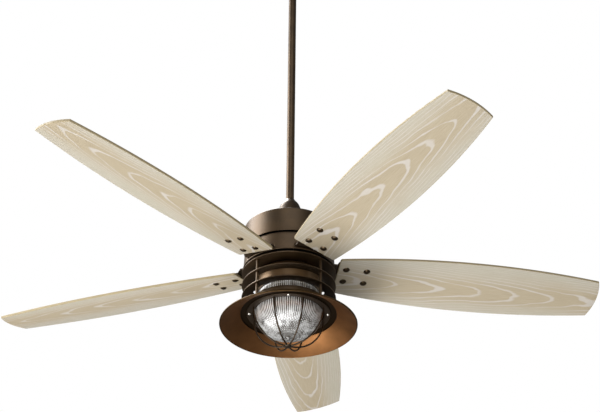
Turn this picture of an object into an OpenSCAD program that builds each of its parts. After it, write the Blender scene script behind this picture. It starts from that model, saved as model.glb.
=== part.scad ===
// Five-blade ceiling fan with a downrod, a louvred light kit, a flared shade,
// a ribbed glass jar and a wire guard. Origin: centre of the ceiling plate, +Z up.

/* [Suspension] */
// Outer diameter of the canopy
canopy_d = 130; // [122:1:170]
// Height of the canopy
canopy_h = 69; // [66:1:90]
// Sheet thickness of the canopy
canopy_wall = 1.8; // [1.2:0.1:3]
// Distance between the two ceiling screw slots
slot_spacing = 88.9; // [80:0.1:100]
// Width of each ceiling screw slot
slot_w = 5.5; // [4.5:0.1:7]
// Length of each ceiling screw slot
slot_len = 14; // [10:0.5:18]
// Length of the downrod
rod_len = 762; // [150:1:1200]
// Outer diameter of the downrod
rod_d = 19.05; // [16:0.05:26]
// Wall of the downrod
rod_wall = 2; // [1.5:0.1:2.6]
// Diameter of the hanger ball
ball_d = 40; // [38:0.5:44]
// Diameter of the pins through the rod
pin_d = 6; // [4:0.5:7]
// Gap between the rod's lower end and the motor housing
rod_stop_h = 41.2; // [38:0.1:60]
// Width of the coupling cover at its foot
cover_foot_d = 80; // [78:1:100]
// Height of the coupling cover
cover_h = 87; // [86:1:110]

/* [Motor housing] */
// Diameter of the fixed upper housing
housing_d = 216; // [206:1:260]
// Height of the fixed upper housing
housing_h = 62; // [56:0.1:80]
// Sheet thickness of the housings
housing_wall = 2; // [1.5:0.1:3]
// Gap between the fixed housing and the turning band
housing_gap = 4; // [3:0.1:9]
// Diameter of the turning band at its top
band_top_d = 211; // [208:1:262]
// Diameter of the turning band at its foot
band_foot_d = 218; // [212:1:270]
// Height of the turning band
band_h = 47; // [46:0.5:60]
// Diameter of the motor shaft
shaft_d = 20; // [19:0.5:22]
// Outer diameter of the rotor case
case_d = 174; // [160:1:178]
// Diameter of the stator core
stator_d = 120; // [90:1:130]
// Thickness of the stator core
stator_h = 30; // [16:1:34]

/* [Blades] */
// Diameter swept by the blade tips
span = 1524; // [1000:1:1800]
// Radius where the blades begin
blade_root_r = 114; // [112:0.5:150]
// Blade width at the root
blade_root_w = 112; // [100:1:118]
// Blade width at the tip corners
blade_tip_w = 116; // [80:1:160]
// Extra blade width at mid length
blade_bulge = 48.6; // [0:0.2:70]
// Blade thickness
blade_t = 6; // [4:0.5:10]
// Pitch of the blades
blade_pitch = 14; // [8:0.5:18]
// Upward cone of the blades
blade_cone = 1.9; // [0:0.1:4]
// Thickness of the blade arms
arm_t = 4; // [3:0.5:5]
// Width of the blade arms at the band
arm_w = 82; // [70:1:96]
// Head diameter of the blade screws
blade_screw_head = 16.4; // [10:0.2:18]

/* [Light kit] */
// Gap between the turning band and the light kit
kit_gap = 7.5; // [6:0.1:12]
// Diameter of the light kit plates
kit_d = 221; // [214:1:270]
// Inner diameter of the louvre rings
louvre_inner_d = 176; // [150:1:190]
// Thickness of the louvre rings
louvre_t = 2.2; // [1.5:0.1:4]
// Spacing of the louvre rings
louvre_pitch = 32; // [24:0.5:36]
// Diameter of the four posts
post_d = 7; // [5:0.5:9]
// Diameter of the circle of posts
post_circle_d = 206; // [198:1:208]
// Length of the posts
post_len = 100; // [94:1:120]
// Outer diameter of the fitter cup
fitter_d = 145; // [120:1:150]
// Height of the fitter cup
fitter_h = 51; // [44:1:54]
// Sheet thickness of the light kit
kit_wall = 2; // [1.5:0.1:3]

/* [Shade] */
// Diameter of the shade over its rolled rim
shade_d = 321; // [290:1:400]
// Diameter of the shade's flat top
shade_flat_d = 226; // [222:1:240]
// Depth from the shade's flat to its rim
shade_drop = 31; // [20:1:60]
// Radius of the rolled rim wire
rim_r = 1.7; // [1.2:0.1:3]
// Diameter of the collar above the shade
collar_d = 176; // [172:1:186]
// Height of the collar above the shade
collar_h = 24; // [14:1:30]

/* [Glass and guard] */
// Glass diameter under the shade
glass_d = 158; // [140:1:159]
// Wall of the glass
glass_wall = 3.5; // [2.5:0.1:5]
// Depth of the glass dome below the shade
dome_h = 64; // [50:1:70]
// Depth of the guard below its ring
guard_depth = 84.5; // [76:0.5:100]
// Thickness of the guard wires
guard_wire_d = 4; // [3:0.2:5]
// Diameter of the circle of guard screws
guard_screw_circle_d = 182.4; // [180:0.2:186]
// Diameter of the lamp bulb
bulb_d = 60; // [45:1:66]

/* [Hidden] */
$fn = 96;

bronze = [0.31, 0.25, 0.18];
dark_bronze = [0.2, 0.15, 0.1];
steel = [0.62, 0.63, 0.65];
brass = [0.45, 0.34, 0.2];
copper = [0.72, 0.42, 0.24];
oak = [0.82, 0.76, 0.66];
porcelain = [0.9, 0.89, 0.86];

blade_count = 5;
first_azimuth = -60;
fit = 0.3;

// Heights from the ceiling
plate_t = 2.5;
ball_z = -(canopy_h - 25);
rod_top_z = ball_z + ball_d / 4;
rod_foot_z = rod_top_z - rod_len;
housing_top_row_z = rod_foot_z - rod_stop_h;

// Heights in the fan head, measured from the blade plane
band_foot_z = -2;
band_top_z = band_foot_z + band_h;
housing_foot_z = band_top_z + housing_gap;
housing_top_z = housing_foot_z + housing_h;
head_z = housing_top_row_z - housing_top_z;
rod_end_z = rod_foot_z - head_z;
case_flange_z = band_top_z;
flange_t = 2.5;
case_foot_z = blade_t + arm_t + 0.5;
case_top_z = housing_top_z - housing_wall - 6;
stator_z = (case_foot_z + case_top_z) / 2;
kit_plate_t = 2.5;
kit_plate_z = band_foot_z - kit_gap - kit_plate_t;
shade_top_z = kit_plate_z - post_len;
shade_under_z = shade_top_z - kit_wall;
fitter_foot_z = kit_plate_z - fitter_h;
gasket_t = 3;
glass_top_z = fitter_foot_z - gasket_t;
dome_foot_z = shade_under_z - dome_h;
case_r = case_d / 2;
case_wall = 3;
shaft_r = shaft_d / 2;
shaft_bore_r = shaft_r - 3;
bearing_ring = 3;
ball_track_r = shaft_r + bearing_ring + 2;
bearing_r = ball_track_r + 2 + bearing_ring;
bearing_h = 8;
upper_bearing_z = case_top_z - bearing_h - 3;
lower_bearing_z = case_foot_z + 5;
band_top_r = band_top_d / 2;
band_foot_r = band_foot_d / 2;
case_flange_r = min(97, housing_d / 2 - housing_wall - 5);
case_screw_r = (case_r + case_flange_r) / 2;
rod_r = rod_d / 2;
coupling_r = rod_r + 5;
coupling_h = rod_stop_h + 29;
coupling_flange_r = cover_foot_d / 2 - 6;
housing_screw_r = coupling_flange_r - 9;
lower_pin_z = rod_end_z + 14;
tip_r = span / 2;
tip_sagitta = 10;
tip_corner_r = tip_r - tip_sagitta;
glass_r = glass_d / 2;
glass_neck_r = fitter_d / 2;
bead_r = glass_r + 5;
bead_h = 4;
shade_hole_r = glass_r + 1;
shade_flat_r = shade_flat_d / 2;
guard_ring_in_r = glass_r + 5;
guard_ring_out_r = guard_screw_circle_d / 2 + 6;
guard_ring_t = 2.5;
guard_z = shade_under_z;
guard_screw_r = guard_screw_circle_d / 2;

module at_head() {
  translate([0, 0, head_z]) children();
}

module ring(r_out, r_in, z, h) {
  translate([0, 0, z])
    difference() {
      cylinder(r = r_out, h = h);
      translate([0, 0, -1]) cylinder(r = r_in, h = h + 2);
    }
}

module spaced(count, radius, start = 0) {
  for (i = [0 : count - 1])
    rotate([0, 0, start + i * 360 / count]) translate([radius, 0, 0]) children();
}

// Screw standing on z = 0 with its head below and its shank above
module dome_screw(head_d, head_h, shank_d, shank_h) {
  dome_r = (head_d * head_d / 4 + head_h * head_h) / (2 * head_h);
  intersection() {
    translate([0, 0, dome_r - head_h]) sphere(r = dome_r);
    translate([0, 0, -head_h]) cylinder(d = head_d, h = head_h);
  }
  cylinder(d = shank_d, h = shank_h);
}

module hex_nut(across, h, bore_d) {
  difference() {
    cylinder(d = across / cos(30), h = h, $fn = 6);
    translate([0, 0, -1]) cylinder(d = bore_d, h = h + 2);
  }
}

// ---- Suspension ----
tab_w = 22;
tab_t = 2.5;
tab_h = 22;
tab_x = canopy_d / 2 - canopy_wall - fit - tab_t;
seat_r = ball_d / 2 + 8;
seat_foot_z = ball_z - 12.5;
seat_h = 7;
canopy_screw_z = -14;

module ceiling_slot() {
  slot_run = slot_len - slot_w;
  translate([0, 0, -plate_t - 1])
    union() {
      translate([-slot_run / 2, 0, 0]) cylinder(d = slot_w, h = plate_t + 2);
      translate([slot_run / 2, 0, 0]) cylinder(d = slot_w, h = plate_t + 2);
      translate([-slot_run / 2, -slot_w / 2, 0]) cube([slot_run, slot_w, plate_t + 2]);
    }
}

module hanger_bracket() {
  room = canopy_h;
  color(steel)
    difference() {
      union() {
        intersection() {
          translate([0, 0, -room]) cylinder(r = tab_x + tab_t, h = room);
          union() {
            translate([-tab_x - tab_t, -20, -plate_t]) cube([2 * (tab_x + tab_t), 40, plate_t]);
            for (side = [-1, 1])
              translate([side * (tab_x + tab_t / 2 - 1) - tab_t / 2 - 1, -tab_w / 2, -tab_h])
                cube([tab_t + 2, tab_w, tab_h - plate_t / 2]);
          }
        }
        for (side = [-1, 1])
          translate([side * (seat_r - 2) - 2, -9, seat_foot_z])
            cube([4, 18, -seat_foot_z - plate_t / 2]);
        translate([0, 0, seat_foot_z]) cylinder(r = seat_r, h = seat_h);
      }
      translate([0, 0, ball_z]) sphere(d = ball_d + 2 * fit);
      translate([0, 0, seat_foot_z - 1]) cylinder(r = 16, h = seat_h);
      for (side = [-1, 1]) {
        translate([side * slot_spacing / 2, 0, 0]) ceiling_slot();
        translate([side * (tab_x - 2), 0, canopy_screw_z])
          rotate([0, side * 90, 0]) cylinder(d = 4, h = tab_t + 4);
      }
    }
}

canopy_hole_r = rod_r + 15;
canopy_shoulder_z = -0.45 * canopy_h;

function canopy_curve(inset) =
  [for (a = [0 : 10 : 90])
    [canopy_hole_r + 8 + (canopy_d / 2 - inset - canopy_hole_r - 8) * cos(a),
     canopy_shoulder_z - (canopy_h - inset + canopy_shoulder_z) * sin(a)]];

module canopy() {
  color(bronze)
    difference() {
      rotate_extrude()
        polygon(concat(
          [[canopy_hole_r, -canopy_h + canopy_wall]],
          [for (i = [9 : -1 : 0]) canopy_curve(canopy_wall)[i]],
          [[canopy_d / 2 - canopy_wall, -1], [canopy_d / 2, -1]],
          canopy_curve(0),
          [[canopy_hole_r, -canopy_h]]));
      for (side = [0, 180])
        rotate([0, 0, side])
          translate([canopy_d / 2 - 5, 0, canopy_screw_z])
            rotate([0, 90, 0]) cylinder(d = 4.4, h = 10);
    }
}

module canopy_screws() {
  color(dark_bronze)
    for (side = [0, 180])
      rotate([0, 0, side])
        translate([canopy_d / 2, 0, canopy_screw_z])
          rotate([0, -90, 0]) dome_screw(9, 2.6, 4, 7);
}

module hanger_ball() {
  color(dark_bronze)
    translate([0, 0, ball_z])
      difference() {
        sphere(d = ball_d);
        translate([0, 0, -ball_d]) cylinder(r = rod_r, h = 2 * ball_d);
        rotate([90, 0, 0]) cylinder(d = pin_d, h = 2 * ball_d, center = true);
      }
}

module ball_pin() {
  color(steel)
    translate([0, 0, ball_z])
      rotate([90, 0, 0]) cylinder(d = pin_d, h = ball_d - 6, center = true);
}

module downrod() {
  color(bronze)
    difference() {
      ring(rod_r, rod_r - rod_wall, rod_foot_z, rod_len);
      for (z = [ball_z, lower_pin_z + head_z])
        translate([0, 0, z]) rotate([90, 0, 0]) cylinder(d = pin_d, h = rod_d + 10, center = true);
    }
}

lead_d = 1.8;
lead_x = pin_d / 2 + lead_d / 2 + 0.8;

module supply_leads() {
  lead_top_z = rod_top_z - 2;
  lead_foot_z = head_z + kit_plate_z - 6;
  color("ivory")
    for (y = [-2.2, 0, 2.2])
      translate([lead_x, y, lead_foot_z]) cylinder(d = lead_d, h = lead_top_z - lead_foot_z);
}

module coupling() {
  stop_z = rod_end_z - 2;
  color(dark_bronze)
    at_head()
      difference() {
        rotate_extrude()
          polygon([
            [shaft_r, housing_top_z], [coupling_flange_r, housing_top_z],
            [coupling_flange_r, housing_top_z + 4], [coupling_r, housing_top_z + 4],
            [coupling_r, housing_top_z + coupling_h], [rod_r, housing_top_z + coupling_h],
            [rod_r, rod_end_z], [shaft_bore_r, rod_end_z], [shaft_bore_r, stop_z],
            [shaft_r, stop_z]]);
        translate([0, 0, lower_pin_z])
          rotate([90, 0, 0]) cylinder(d = pin_d, h = 4 * coupling_r, center = true);
        for (side = [-1, 1])
          translate([side * rod_r / 2, 0, lower_pin_z + 8])
            rotate([0, side * 90, 0]) cylinder(d = 5, h = 2 * coupling_r);
        spaced(3, housing_screw_r) translate([0, 0, housing_top_z - 1]) cylinder(d = 5, h = 6);
      }
}

module rod_pin() {
  color(steel)
    at_head()
      translate([0, 0, lower_pin_z])
        rotate([90, 0, 0]) cylinder(d = pin_d, h = 2 * coupling_r + 6, center = true);
}

module coupling_set_screws() {
  color(steel)
    at_head()
      for (side = [-1, 1])
        translate([side * rod_r, 0, lower_pin_z + 8])
          rotate([0, side * 90, 0]) cylinder(d = 5, h = 7.5);
}

cover_wall = 1.6;
cover_neck_r = rod_r + fit;
cover_mid_r = cover_foot_d * 0.32;

function cover_profile(inset) = [
  [cover_foot_d / 2 - inset, 0],
  [cover_foot_d / 2 - inset, 4],
  [cover_foot_d * 0.46 - inset, 24],
  [cover_mid_r - inset, cover_h - 24],
  [cover_mid_r * 0.86 - inset, cover_h - 14],
  [cover_neck_r + cover_wall + 3 - inset, cover_h - 5]];

module coupling_cover() {
  color(bronze)
    at_head()
      translate([0, 0, housing_top_z + fit])
        rotate_extrude()
          polygon(concat(
            cover_profile(0),
            [[cover_neck_r + cover_wall, cover_h], [cover_neck_r, cover_h]],
            [[cover_neck_r, cover_h - 5 - cover_wall]],
            [for (i = [5 : -1 : 0]) cover_profile(cover_wall)[i]]));
}

// ---- Motor ----
shaft_flange_r = coupling_flange_r;

module motor_shaft() {
  shaft_foot_z = kit_plate_z - 9;
  shaft_top_z = housing_top_z + rod_stop_h - 2;
  color(steel)
    at_head()
      difference() {
        union() {
          translate([0, 0, shaft_foot_z]) cylinder(r = shaft_r, h = shaft_top_z - shaft_foot_z);
          translate([0, 0, housing_top_z - housing_wall - 3]) cylinder(r = shaft_flange_r, h = 3);
        }
        translate([0, 0, shaft_foot_z - 1])
          cylinder(r = shaft_bore_r, h = shaft_top_z - shaft_foot_z + 2);
        spaced(3, housing_screw_r)
          translate([0, 0, housing_top_z - housing_wall - 4]) cylinder(d = 5, h = 5);
      }
}

module upper_housing() {
  r = housing_d / 2;
  edge = 3.5;
  color(bronze)
    at_head()
      difference() {
        rotate_extrude()
          polygon(concat(
            [[shaft_r, housing_top_z - housing_wall], [shaft_r, housing_top_z]],
            [for (a = [90 : -15 : 0])
              [r - edge + edge * cos(a), housing_top_z - edge + edge * sin(a)]],
            [[r, housing_foot_z], [r - housing_wall, housing_foot_z]],
            [[r - housing_wall, housing_top_z - edge]],
            [[r - edge, housing_top_z - housing_wall]]));
        spaced(3, housing_screw_r)
          translate([0, 0, housing_top_z - housing_wall - 1]) cylinder(d = 5, h = housing_wall + 2);
      }
}

module housing_screws() {
  color(steel)
    at_head()
      spaced(3, housing_screw_r)
        translate([0, 0, housing_top_z + 4]) rotate([180, 0, 0])
          dome_screw(9, 2.6, 5, 4 + housing_wall + 3);
}

module stator_core() {
  slots = 12;
  color(steel)
    at_head()
      translate([0, 0, stator_z - stator_h / 2])
        difference() {
          cylinder(d = stator_d, h = stator_h);
          translate([0, 0, -1]) cylinder(r = shaft_r, h = stator_h + 2);
          spaced(slots, stator_d / 2 - 14) translate([0, 0, -1]) cylinder(r = 4, h = stator_h + 2);
          spaced(slots, stator_d / 2 - 12)
            translate([0, -1.5, -1]) cube([14, 3, stator_h + 2]);
        }
}

module stator_windings() {
  coil_h = 9;
  color(copper)
    at_head()
      for (z = [stator_z + stator_h / 2, stator_z - stator_h / 2 - coil_h])
        ring(stator_d / 2 - 6, stator_d / 2 - 26, z, coil_h);
}

module at_bearings() {
  for (z = [lower_bearing_z, upper_bearing_z]) translate([0, 0, z]) children();
}

module bearing_inner_races() {
  color(steel)
    at_head() at_bearings() ring(shaft_r + bearing_ring, shaft_r, 0, bearing_h);
}

module bearing_balls() {
  color(steel)
    at_head() at_bearings() spaced(8, ball_track_r) translate([0, 0, bearing_h / 2]) sphere(r = 1.9);
}

module bearing_outer_races() {
  color(steel)
    at_head() at_bearings() ring(bearing_r, bearing_r - bearing_ring, 0, bearing_h);
}

module rotor_ring() {
  color(steel)
    at_head()
      ring(case_r - case_wall, stator_d / 2 + 1, stator_z - stator_h / 2, stator_h);
}

module case_screw_holes(z, h) {
  spaced(6, case_screw_r, 30) translate([0, 0, z]) cylinder(d = 4, h = h);
}

module rotor_case_top() {
  flange_z = case_flange_z + flange_t;
  color(dark_bronze)
    at_head()
      difference() {
        rotate_extrude()
          polygon([
            [bearing_r, upper_bearing_z], [bearing_r, case_top_z], [case_r, case_top_z],
            [case_r, flange_z + flange_t], [case_flange_r, flange_z + flange_t],
            [case_flange_r, flange_z], [case_r - case_wall, flange_z],
            [case_r - case_wall, case_top_z - case_wall],
            [bearing_r + case_wall, case_top_z - case_wall],
            [bearing_r + case_wall, upper_bearing_z]]);
        case_screw_holes(flange_z - 1, flange_t + 2);
      }
}

arm_screw_r = 76;
arm_screw_y = 20;

module rotor_case_bottom() {
  color(dark_bronze)
    at_head()
      difference() {
        rotate_extrude()
          polygon([
            [bearing_r, lower_bearing_z + bearing_h], [bearing_r, case_foot_z],
            [case_r, case_foot_z], [case_r, case_flange_z], [case_flange_r, case_flange_z],
            [case_flange_r, case_flange_z + flange_t],
            [case_r - case_wall, case_flange_z + flange_t],
            [case_r - case_wall, case_foot_z + case_wall],
            [bearing_r + case_wall, case_foot_z + case_wall],
            [bearing_r + case_wall, lower_bearing_z + bearing_h]]);
        case_screw_holes(case_flange_z - 1, flange_t + 2);
        at_arms() arm_screw_places() translate([0, 0, case_foot_z - 1]) cylinder(d = 5, h = 5);
      }
}

module case_screws() {
  color(steel)
    at_head()
      spaced(6, case_screw_r, 30)
        translate([0, 0, case_flange_z - 2]) dome_screw(7.5, 2.2, 4, 2 + 2 * flange_t + 1);
}

module rotor_band() {
  slot_z = blade_t - 0.3;
  slot_h = arm_t + 1.6;
  lip = 1.2;
  color(bronze)
    at_head()
      difference() {
        rotate_extrude()
          polygon([
            [case_r, band_top_z - 2], [case_r, band_top_z], [band_top_r, band_top_z],
            [band_foot_r - lip, band_foot_z + 3], [band_foot_r, band_foot_z + 2],
            [band_foot_r, band_foot_z], [band_foot_r - housing_wall - lip, band_foot_z],
            [band_foot_r - housing_wall - lip, band_foot_z + 3],
            [band_top_r - housing_wall, band_top_z - 2]]);
        at_arms()
          translate([band_top_r - 25, -arm_w / 2 - 1, slot_z]) cube([40, arm_w + 2, slot_h]);
        case_screw_holes(band_top_z - 3, 4);
      }
}

// ---- Blades and arms ----
module at_arm(i) {
  rotate([0, 0, first_azimuth + i * 360 / blade_count]) children();
}

module at_arms() {
  for (i = [0 : blade_count - 1]) at_arm(i) children();
}

pitch_axis_r = 100;

module pitched() {
  translate([pitch_axis_r, 0, 0])
    rotate([0, -blade_cone, 0]) rotate([-blade_pitch, 0, 0])
      translate([-pitch_axis_r, 0, 0]) children();
}

module arm_screw_places() {
  for (side = [-1, 1]) translate([arm_screw_r, side * arm_screw_y, 0]) children();
}

blade_screw_first = 19;
blade_screw_step = 50;
blade_screw_half = 20;
blade_screw_shift = -5;

module blade_screw_places() {
  for (along = [0, 1], side = [-1, 1])
    translate([
      blade_root_r + blade_screw_first + along * blade_screw_step,
      blade_screw_shift + side * blade_screw_half, 0]) children();
}

// A point of the blade's own frame, moved by pitch and cone
function pitch_point(p) =
  let (x = p[0] - pitch_axis_r,
       y = p[1] * cos(blade_pitch) + p[2] * sin(blade_pitch),
       z = p[2] * cos(blade_pitch) - p[1] * sin(blade_pitch))
  [pitch_axis_r + x * cos(blade_cone) - z * sin(blade_cone), y,
   x * sin(blade_cone) + z * cos(blade_cone)];

// Four corners of the arm's cross section; the part outside the band is pitched
function arm_section(r, half, is_pitched) =
  let (foot = is_pitched ? blade_t : blade_t + 0.5,
       corners = [[r, -half, foot], [r, half, foot], [r, half, foot + arm_t], [r, -half, foot + arm_t]])
  [for (c = corners) is_pitched ? pitch_point(c) : c];

module blade_arm(i) {
  arm_foot_z = blade_t + 0.5;
  paddle_r = blade_root_r + blade_screw_first + blade_screw_step + 20;
  neck_r = blade_root_r - 6;
  sections = [
    arm_section(62, 28, false),
    arm_section(neck_r - 12, arm_w / 2, false),
    arm_section(neck_r, arm_w / 2, false),
    arm_section(blade_root_r, arm_w / 2, true),
    arm_section(paddle_r - 26, arm_w * 0.43, true),
    arm_section(paddle_r - 8, arm_w * 0.34, true),
    arm_section(paddle_r, arm_w * 0.2, true)];
  last = 4 * (len(sections) - 1);
  sides = [for (k = [0 : len(sections) - 2], c = [0 : 3])
    [4 * k + c, 4 * k + (c + 1) % 4, 4 * k + 4 + (c + 1) % 4, 4 * k + 4 + c]];
  color(dark_bronze)
    at_head()
      at_arm(i)
        difference() {
          polyhedron(
            points = [for (s = sections) for (c = s) c],
            faces = concat(
              [[0, 2, 1], [0, 3, 2]],
              [for (q = sides) [q[0], q[1], q[2]]],
              [for (q = sides) [q[0], q[2], q[3]]],
              [[last, last + 1, last + 2], [last, last + 2, last + 3]]));
          pitched() blade_screw_places() translate([0, 0, blade_t - 1]) cylinder(d = 5, h = arm_t + 2);
          arm_screw_places() translate([0, 0, arm_foot_z - 1]) cylinder(d = 5, h = arm_t + 2);
        }
}

module blade_arm_1() { blade_arm(0); }
module blade_arm_2() { blade_arm(1); }
module blade_arm_3() { blade_arm(2); }
module blade_arm_4() { blade_arm(3); }
module blade_arm_5() { blade_arm(4); }

module arm_screws() {
  color(steel)
    at_head()
      at_arms()
        arm_screw_places()
          translate([0, 0, blade_t + 0.5]) dome_screw(10, 2.8, 5, arm_t + case_wall + 1);
}

// Half width of the blade at a share s of its length: straight taper plus a parabola
function blade_half(s) =
  (blade_root_w + (blade_tip_w - blade_root_w) * s) / 2 + 2 * blade_bulge * s * (1 - s);

function blade_side() =
  [for (k = [1 : 23])
    let (s = k / 24)
    [blade_root_r + 6 + (tip_corner_r - blade_root_r - 6) * s, blade_half(s)]];

tip_arc_r = (blade_tip_w * blade_tip_w / 4 + tip_sagitta * tip_sagitta) / (2 * tip_sagitta);
tip_arc_half = asin(blade_tip_w / 2 / tip_arc_r);

function tip_arc() =
  [for (k = [-6 : 6])
    let (a = -tip_arc_half * k / 6)
    [tip_r - tip_arc_r + tip_arc_r * cos(a), tip_arc_r * sin(a)]];

module blade(i) {
  corner = 6;
  side = blade_side();
  color(oak)
    at_head()
      at_arm(i)
        pitched()
          difference() {
            linear_extrude(blade_t)
              polygon(concat(
                [[blade_root_r, -blade_root_w / 2 + corner]],
                [[blade_root_r, blade_root_w / 2 - corner]],
                [[blade_root_r + corner, blade_root_w / 2]],
                side,
                tip_arc(),
                [for (k = [22 : -1 : 0]) [side[k][0], -side[k][1]]],
                [[blade_root_r + corner, -blade_root_w / 2]]));
            blade_screw_places() translate([0, 0, -1]) cylinder(d = 5, h = blade_t + 2);
          }
}

module blade_1() { blade(0); }
module blade_2() { blade(1); }
module blade_3() { blade(2); }
module blade_4() { blade(3); }
module blade_5() { blade(4); }

module blade_screws() {
  color(brass)
    at_head()
      at_arms()
        pitched()
          blade_screw_places() dome_screw(blade_screw_head, 3.4, 5, blade_t + arm_t);
}

// ---- Light kit ----
module kit_spacer() {
  color(steel)
    at_head()
      ring(shaft_r + bearing_ring, shaft_r, kit_plate_z + kit_plate_t,
        lower_bearing_z - kit_plate_z - kit_plate_t);
}

post_azimuth = 45;
post_r = post_circle_d / 2;

module post_holes(z, h, d = post_d) {
  spaced(4, post_r, post_azimuth) translate([0, 0, z - 1]) cylinder(d = d, h = h + 2);
}

fitter_screw_r = 50;

module kit_top_plate() {
  color(bronze)
    at_head()
      difference() {
        ring(kit_d / 2, shaft_r, kit_plate_z, kit_plate_t);
        post_holes(kit_plate_z, kit_plate_t, 4);
        spaced(3, fitter_screw_r) translate([0, 0, kit_plate_z - 1]) cylinder(d = 4, h = kit_plate_t + 2);
      }
}

module kit_nut() {
  color(steel)
    at_head() translate([0, 0, kit_plate_z - 8]) hex_nut(30, 8, shaft_d);
}

module fitter_cup() {
  r = fitter_d / 2;
  color(bronze)
    at_head()
      difference() {
        rotate_extrude()
          polygon([
            [22, kit_plate_z], [r, kit_plate_z], [r, fitter_foot_z],
            [r - 9, fitter_foot_z], [r - 9, fitter_foot_z + kit_wall],
            [r - kit_wall, fitter_foot_z + kit_wall], [r - kit_wall, kit_plate_z - kit_wall],
            [22, kit_plate_z - kit_wall]]);
        spaced(3, fitter_screw_r) translate([0, 0, kit_plate_z - 5]) cylinder(d = 4, h = 7);
      }
}

module fitter_screws() {
  color(steel)
    at_head()
      spaced(3, fitter_screw_r)
        translate([0, 0, kit_plate_z - kit_wall]) dome_screw(8, 2.2, 4, kit_wall + kit_plate_t);
}

module louvre(level) {
  z = kit_plate_z + kit_plate_t / 2 - level * louvre_pitch - louvre_t / 2;
  color(bronze)
    at_head()
      difference() {
        ring(kit_d / 2, louvre_inner_d / 2, z, louvre_t);
        post_holes(z, louvre_t);
      }
}

module louvre_upper() { louvre(1); }
module louvre_lower() { louvre(2); }

module kit_posts() {
  color(bronze)
    at_head()
      spaced(4, post_r, post_azimuth)
        difference() {
          translate([0, 0, shade_top_z]) cylinder(d = post_d, h = post_len);
          translate([0, 0, kit_plate_z - 10]) cylinder(d = 4, h = 11);
        }
}

module post_screws() {
  color(dark_bronze)
    at_head()
      spaced(4, post_r, post_azimuth)
        translate([0, 0, kit_plate_z + kit_plate_t]) rotate([180, 0, 0])
          dome_screw(8, 2.2, 4, kit_plate_t + 9);
}

socket_r = 20;
socket_plate_z = kit_plate_z - 14;
socket_foot_z = socket_plate_z - 34;
lamp_base_r = 13;

module socket_plate() {
  color("white")
    at_head()
      ring(fitter_d / 2 - kit_wall, socket_r - 4, socket_plate_z, 1.5);
}

module lamp_socket() {
  color(porcelain)
    at_head()
      difference() {
        translate([0, 0, socket_foot_z]) cylinder(r = socket_r, h = socket_plate_z - socket_foot_z);
        translate([0, 0, socket_foot_z - 1]) cylinder(r = lamp_base_r + fit, h = 30);
      }
}

module lamp_base() {
  color(brass)
    at_head() translate([0, 0, socket_foot_z]) cylinder(r = lamp_base_r, h = 26);
}

function bulb_outline(r, neck_r, neck_z, drop) =
  concat(
    [[neck_r, neck_z]],
    [for (a = [40 : -13 : -90]) [r * cos(a), neck_z - drop + r * sin(a)]]);

module lamp_bulb() {
  r = bulb_d / 2;
  drop = 52;
  color([0.95, 0.94, 0.9])
    at_head()
      difference() {
        rotate_extrude()
          polygon(concat([[0, socket_foot_z]], bulb_outline(r, 13, socket_foot_z, drop)));
        rotate_extrude()
          polygon(concat([[0, socket_foot_z + 1], [11.6, socket_foot_z + 1]],
            bulb_outline(r - 1.2, 11.6, socket_foot_z, drop)));
      }
}

module glass_gasket() {
  color([0.15, 0.15, 0.15])
    at_head()
      ring(glass_neck_r, glass_neck_r - 9, glass_top_z, gasket_t);
}

function glass_line(inset) =
  concat(
    [[glass_neck_r - inset, glass_top_z], [glass_r - 1 - inset, shade_top_z + bead_h + 1]],
    [for (a = [0 : 7.5 : 90])
      [(glass_r - inset) * cos(a), shade_under_z - (dome_h - inset) * sin(a)]]);

module glass_jar() {
  outer = glass_line(0);
  inner = glass_line(glass_wall);
  last = len(outer) - 1;
  color([0.85, 0.88, 0.88, 0.5])
    at_head()
      rotate_extrude()
        polygon(concat(
          [outer[0], outer[1]],
          [[bead_r, shade_top_z + bead_h], [bead_r, shade_top_z], [glass_r, shade_top_z]],
          [for (k = [2 : last - 1]) outer[k]],
          [[4, dome_foot_z - 1], [3, dome_foot_z - 5], [0, dome_foot_z - 6]],
          [for (k = [last : -1 : 0]) inner[k]]));
}

module guard_screw_holes(z, h) {
  spaced(4, guard_screw_r) translate([0, 0, z - 1]) cylinder(d = 4, h = h + 2);
}

module glass_collar() {
  r = collar_d / 2;
  color(bronze)
    at_head()
      difference() {
        rotate_extrude()
          polygon([
            [bead_r + 1, shade_top_z], [guard_ring_out_r, shade_top_z],
            [guard_ring_out_r, shade_top_z + kit_wall], [r, shade_top_z + kit_wall],
            [r, shade_top_z + collar_h], [r - kit_wall, shade_top_z + collar_h],
            [r - kit_wall, shade_top_z + kit_wall], [bead_r + 1, shade_top_z + kit_wall]]);
        guard_screw_holes(shade_top_z, kit_wall);
      }
}

function shade_curve(inset) =
  [for (k = [0 : 8])
    let (s = k / 8)
    [shade_flat_r + 2 - inset + (shade_d / 2 - rim_r - shade_flat_r - 2) * s,
     shade_top_z - 5 - (shade_drop - 5) * s - 4 * s * (1 - s) + inset * 0.4]];

module shade() {
  lower = [for (p = shade_curve(0)) [p[0], p[1] - kit_wall]];
  upper = shade_curve(0);
  color(bronze)
    at_head()
      difference() {
        union() {
          rotate_extrude()
            polygon(concat(
              [[shade_hole_r, shade_under_z], [shade_hole_r, shade_top_z]],
              [[shade_flat_r, shade_top_z]],
              upper,
              [for (k = [8 : -1 : 0]) lower[k]],
              [[shade_flat_r - 1, shade_under_z]]));
          rotate_extrude()
            translate([shade_d / 2 - rim_r, shade_top_z - shade_drop - kit_wall / 2])
              circle(r = rim_r);
        }
        guard_screw_holes(shade_under_z, kit_wall);
      }
}

wire_r = guard_wire_d / 2;
knot_r = 9;
knot_h = 6.4;

wire_start_r = guard_ring_in_r + wire_r + 1;
wire_mid_z = guard_z - guard_ring_t / 2;
wire_centre_r = 2.5;
wire_bend_r = wire_start_r - wire_centre_r;
wire_run = guard_depth - wire_bend_r;

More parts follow.
